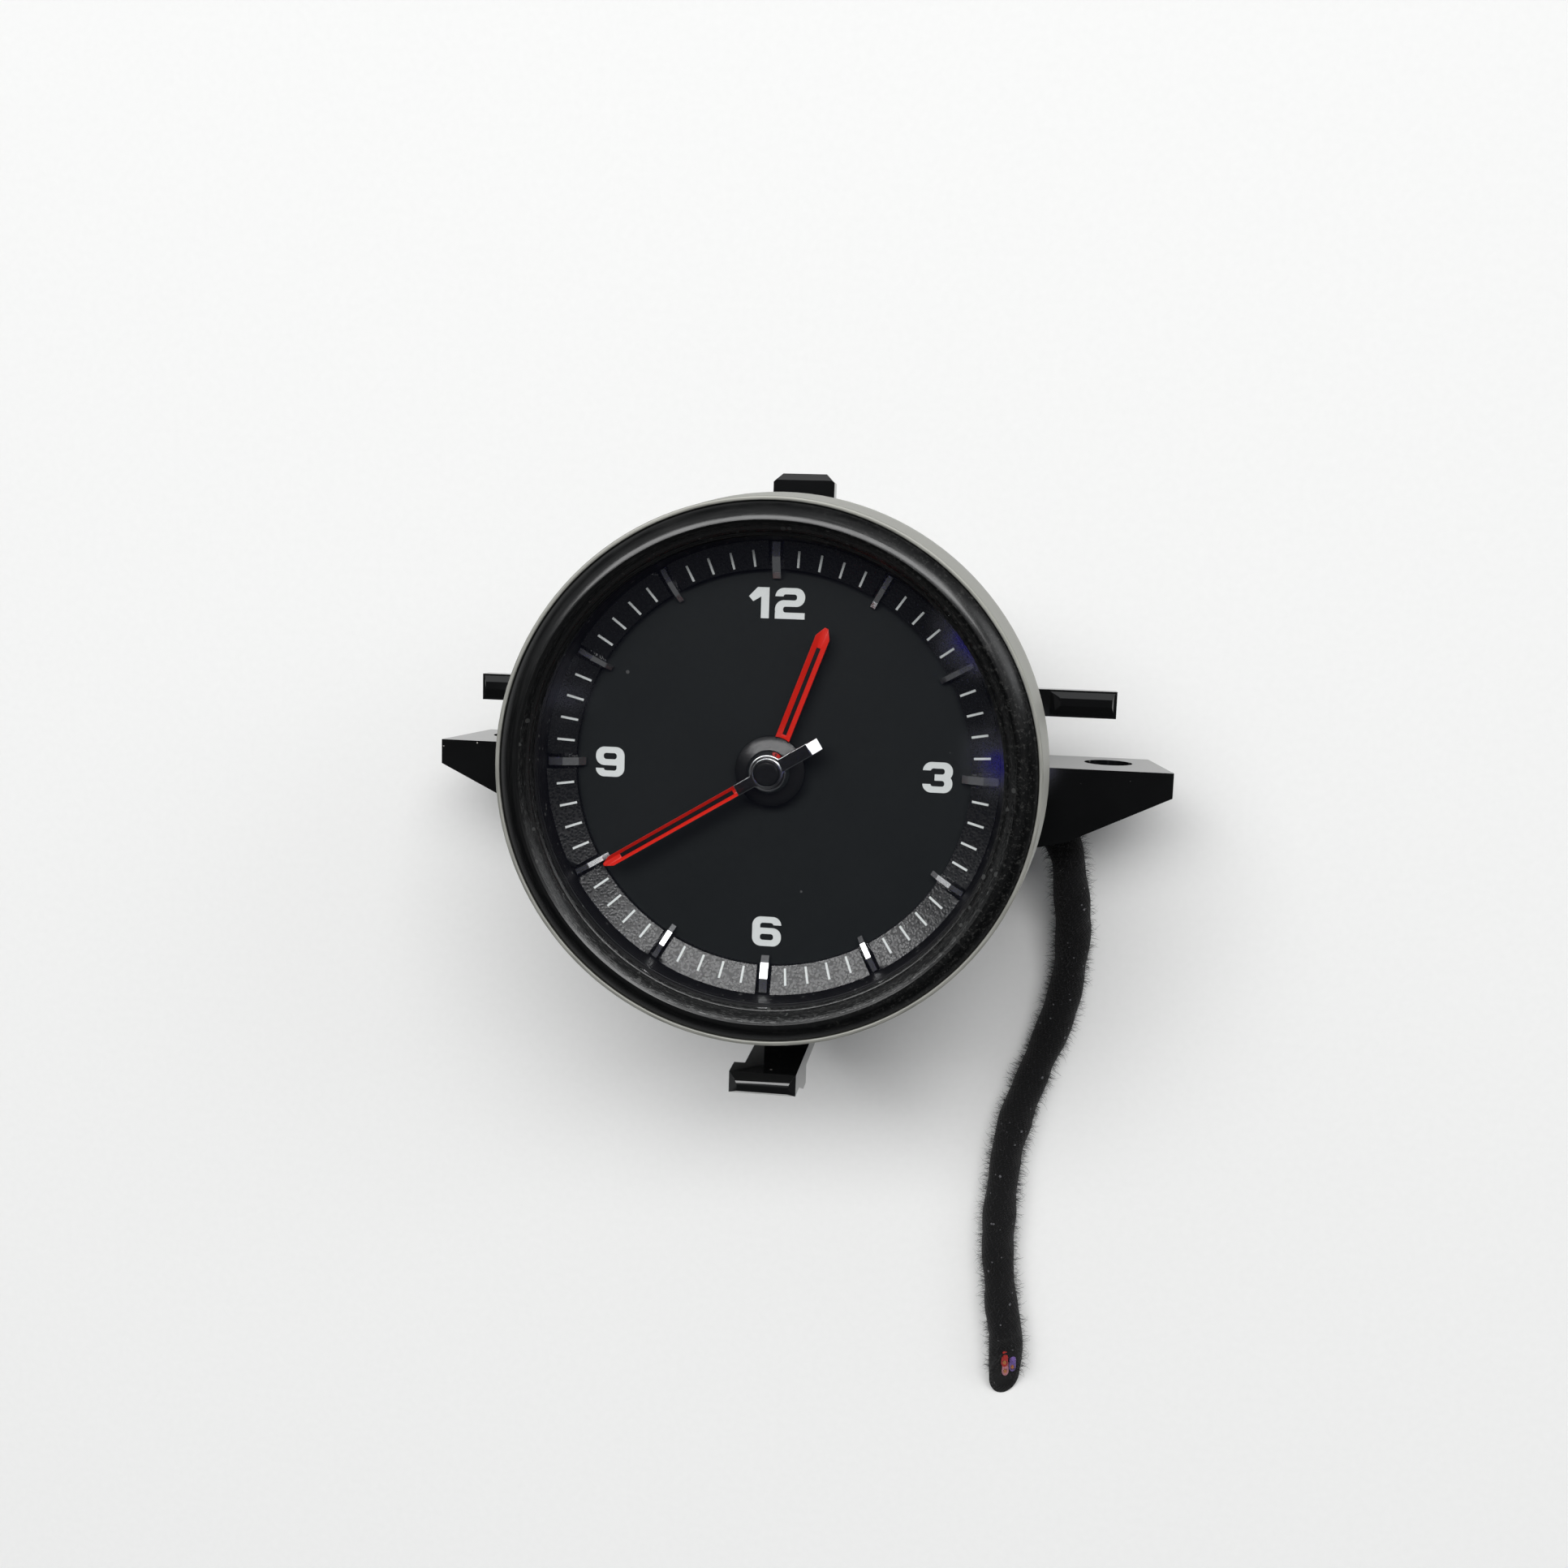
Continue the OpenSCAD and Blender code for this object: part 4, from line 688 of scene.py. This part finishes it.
looks = {
    "bezel": black_bezel, "trim_ring": silver, "lens": lens_clear, "lens_seal": rubber,
    "spacer_ring": spacer_black, "chapter_ring": ring_grey, "minute_marks": white_print,
    "hour_bars": bar_bright, "dial": dial_black, "numerals": white_print,
    "light_guide": guide_clear, "lamps": lamp_white, "hour_hand": red, "hour_inlay": inlay,
    "hour_hub": hub_black, "minute_hand": red, "minute_inlay": inlay, "minute_boss": chrome,
    "cap_ring": chrome, "minute_cap": hub_black, "centre_arbor": steel, "centre_wheel": brass,
    "cannon_pinion": brass, "hour_wheel": gear_plastic, "minute_wheel": gear_plastic,
    "motion_stud": steel, "third_wheel": gear_plastic, "third_arbor": steel,
    "rotor_magnet": magnet, "rotor_pinion": steel, "stator": steel, "coil_core": steel,
    "coil_bobbin": gear_plastic, "coil": copper, "front_plate": plate_plastic,
    "back_plate": plate_plastic, "pillars": plate_plastic, "board_posts": plate_plastic,
    "movement_screws": steel, "plate_screws": steel, "circuit_board": board_green,
    "clock_chip": chip_black, "crystal": steel, "capacitor": chip_black, "resistors": chip_black,
    "socket": plug_black, "socket_pins": tin, "plug": plug_black, "terminals": tin,
    "loom": tape, "wire_ends": sleeves[0], "housing": housing_black,
    "back_cover": housing_black, "cover_screws": steel,
}


def paint_node(name, made):
    """Gives a CAD node its material in every slot."""
    data = nodes[name].data
    if not data.materials:
        data.materials.append(made)
    for i in range(len(data.materials)):
        data.materials[i] = made


for node_name, made in looks.items():
    paint_node(node_name, made)


# Edges: how far each CAD node's sharp edges are rounded, in millimetres
SOFT_EDGES = {
    "housing": 0.25, "back_cover": 0.2, "trim_ring": 0.1, "chapter_ring": 0.06,
    "spacer_ring": 0.08, "hour_hand": 0.07, "hour_hub": 0.1, "minute_hand": 0.07,
    "minute_boss": 0.1, "cap_ring": 0.04, "minute_cap": 0.12,
}
SHARP_ANGLE = math.radians(30)
WELD_REACH = 0.002
FLAT_FACE_WEIGHT = 90


def soften(name, width):
    """Rounds a CAD node's sharp edges, as moulding and polishing do."""
    node = nodes[name]
    weld = node.modifiers.new("weld", "WELD")
    weld.merge_threshold = WELD_REACH*MM
    bevel = node.modifiers.new("bevel", "BEVEL")
    bevel.width = width*MM
    bevel.segments = 2
    bevel.limit_method = "ANGLE"
    bevel.angle_limit = SHARP_ANGLE
    normals = node.modifiers.new("normals", "WEIGHTED_NORMAL")
    normals.weight = FLAT_FACE_WEIGHT


for node_name, width in SOFT_EDGES.items():
    soften(node_name, width)


# Floor: a pale square that looks near white, in metres
FLOOR_REACH = 0.8
FLOOR_CORNERS = ((-1, -1), (1, -1), (1, 1), (-1, 1))

floor_mat, floor_tree, floor_shader = material("floor_white")
floor_clouds = noise(floor_tree, place(floor_tree), 900, 3)
plug_in(floor_tree, floor_shader.inputs["Base Color"],
        mix(floor_tree, floor_clouds, (0.86, 0.86, 0.85), (0.9, 0.9, 0.89)))
floor_shader.inputs["Roughness"].default_value = 0.7
floor_data = bpy.data.meshes.new("floor")
floor_data.from_pydata([(x*FLOOR_REACH, y*FLOOR_REACH, 0) for x, y in FLOOR_CORNERS], [],
                       [(0, 1, 2, 3)])
floor = bpy.data.objects.new("floor", floor_data)
floor_data.materials.append(floor_mat)
scene.collection.objects.link(floor)


# Key: a wide soft box above the dial's top, in metres
KEY_PLACE = Vector((-0.094, 0.935, 1.76))
KEY_AIM = Vector((0, 0, 0.03))
KEY_SIZE = (2.55, 0.714)
KEY_WATTS = 41.5

key_data = bpy.data.lights.new("key", "AREA")
key_data.shape = "RECTANGLE"
key_data.size, key_data.size_y = KEY_SIZE
key_data.energy = KEY_WATTS
key = bpy.data.objects.new("key", key_data)
key.location = KEY_PLACE
key.rotation_euler = (KEY_AIM - KEY_PLACE).to_track_quat("-Z", "Y").to_euler()
scene.collection.objects.link(key)


# Sky: soft bands of light, one window, and violet patches that the lens mirrors.
# A band is the product of two ramps: axis, two places on it, and the strength at each.
# A patch has its direction and its share of the strength.
SKY_BANDS = {
    "all_round": (("Z", 0.3, 0.8, 0.06, 0.02), ("Y", -0.6, 0.5, 0.3, 1)),
    "north": (("Y", 0.02, 0.3, 0, 0.55), ("Z", 0.25, 0.6, 0, 1)),
    "middle": (("Z", 0.55, 0.68, 0, 0.12), ("Z", 0.88, 0.95, 1, 0)),
    "low": (("Z", 0.06, 0.25, 1, 0), ("Y", -0.6, 0.3, 0.3, 0.8)),
}
SKY_WHITE = (0.97, 0.985, 1)
WINDOW_WAY = (0.776, 0.4, 0.49)
WINDOW_REACH = (0.14, 0.24)
WINDOW_STRENGTH = 2.2
VIOLET = (0.09, 0.07, 1)
VIOLET_PATCHES = (
    ((-0.01, -0.03, 0.999), 1), ((0.012, -0.106, 0.994), 1), ((-0.275, -0.075, 0.959), 0.25),
)
VIOLET_REACH = 0.036
VIOLET_STRENGTH = 3.4

world = bpy.data.worlds.new("world")
scene.world = world
world.use_nodes = True
sky_tree = world.node_tree
sky = sky_tree.nodes["Background"]
sky_at = place(sky_tree, "Generated")
sky_axes = add(sky_tree, "SeparateXYZ", Vector=sky_at).outputs


def ramp(axis, low, high, to_low, to_high):
    """A smooth change of strength along an axis of the sky."""
    return spread(sky_tree, sky_axes[axis], low, high, to_low, to_high, soft=True)


strength = spread(sky_tree, apart(sky_tree, sky_at, WINDOW_WAY), *WINDOW_REACH,
                  WINDOW_STRENGTH, 0, soft=True)
for first, second in SKY_BANDS.values():
    strength = plus(sky_tree, strength, times(sky_tree, ramp(*first), ramp(*second)))
tint = 0.0
for way, share in VIOLET_PATCHES:
    patch = spread(sky_tree, apart(sky_tree, sky_at, way), VIOLET_REACH*0.3, VIOLET_REACH, share,
                   0, soft=True)
    tint = plus(sky_tree, patch, tint)
tint = times(sky_tree, tint, spread(sky_tree, noise(sky_tree, sky_at, 40, 2), 0.35, 0.6))
plug_in(sky_tree, sky.inputs["Color"], mix(sky_tree, tint, SKY_WHITE, VIOLET))
plug_in(sky_tree, sky.inputs["Strength"],
        plus(sky_tree, strength, times(sky_tree, tint, VIOLET_STRENGTH)))
scene.view_settings.view_transform = "Standard"
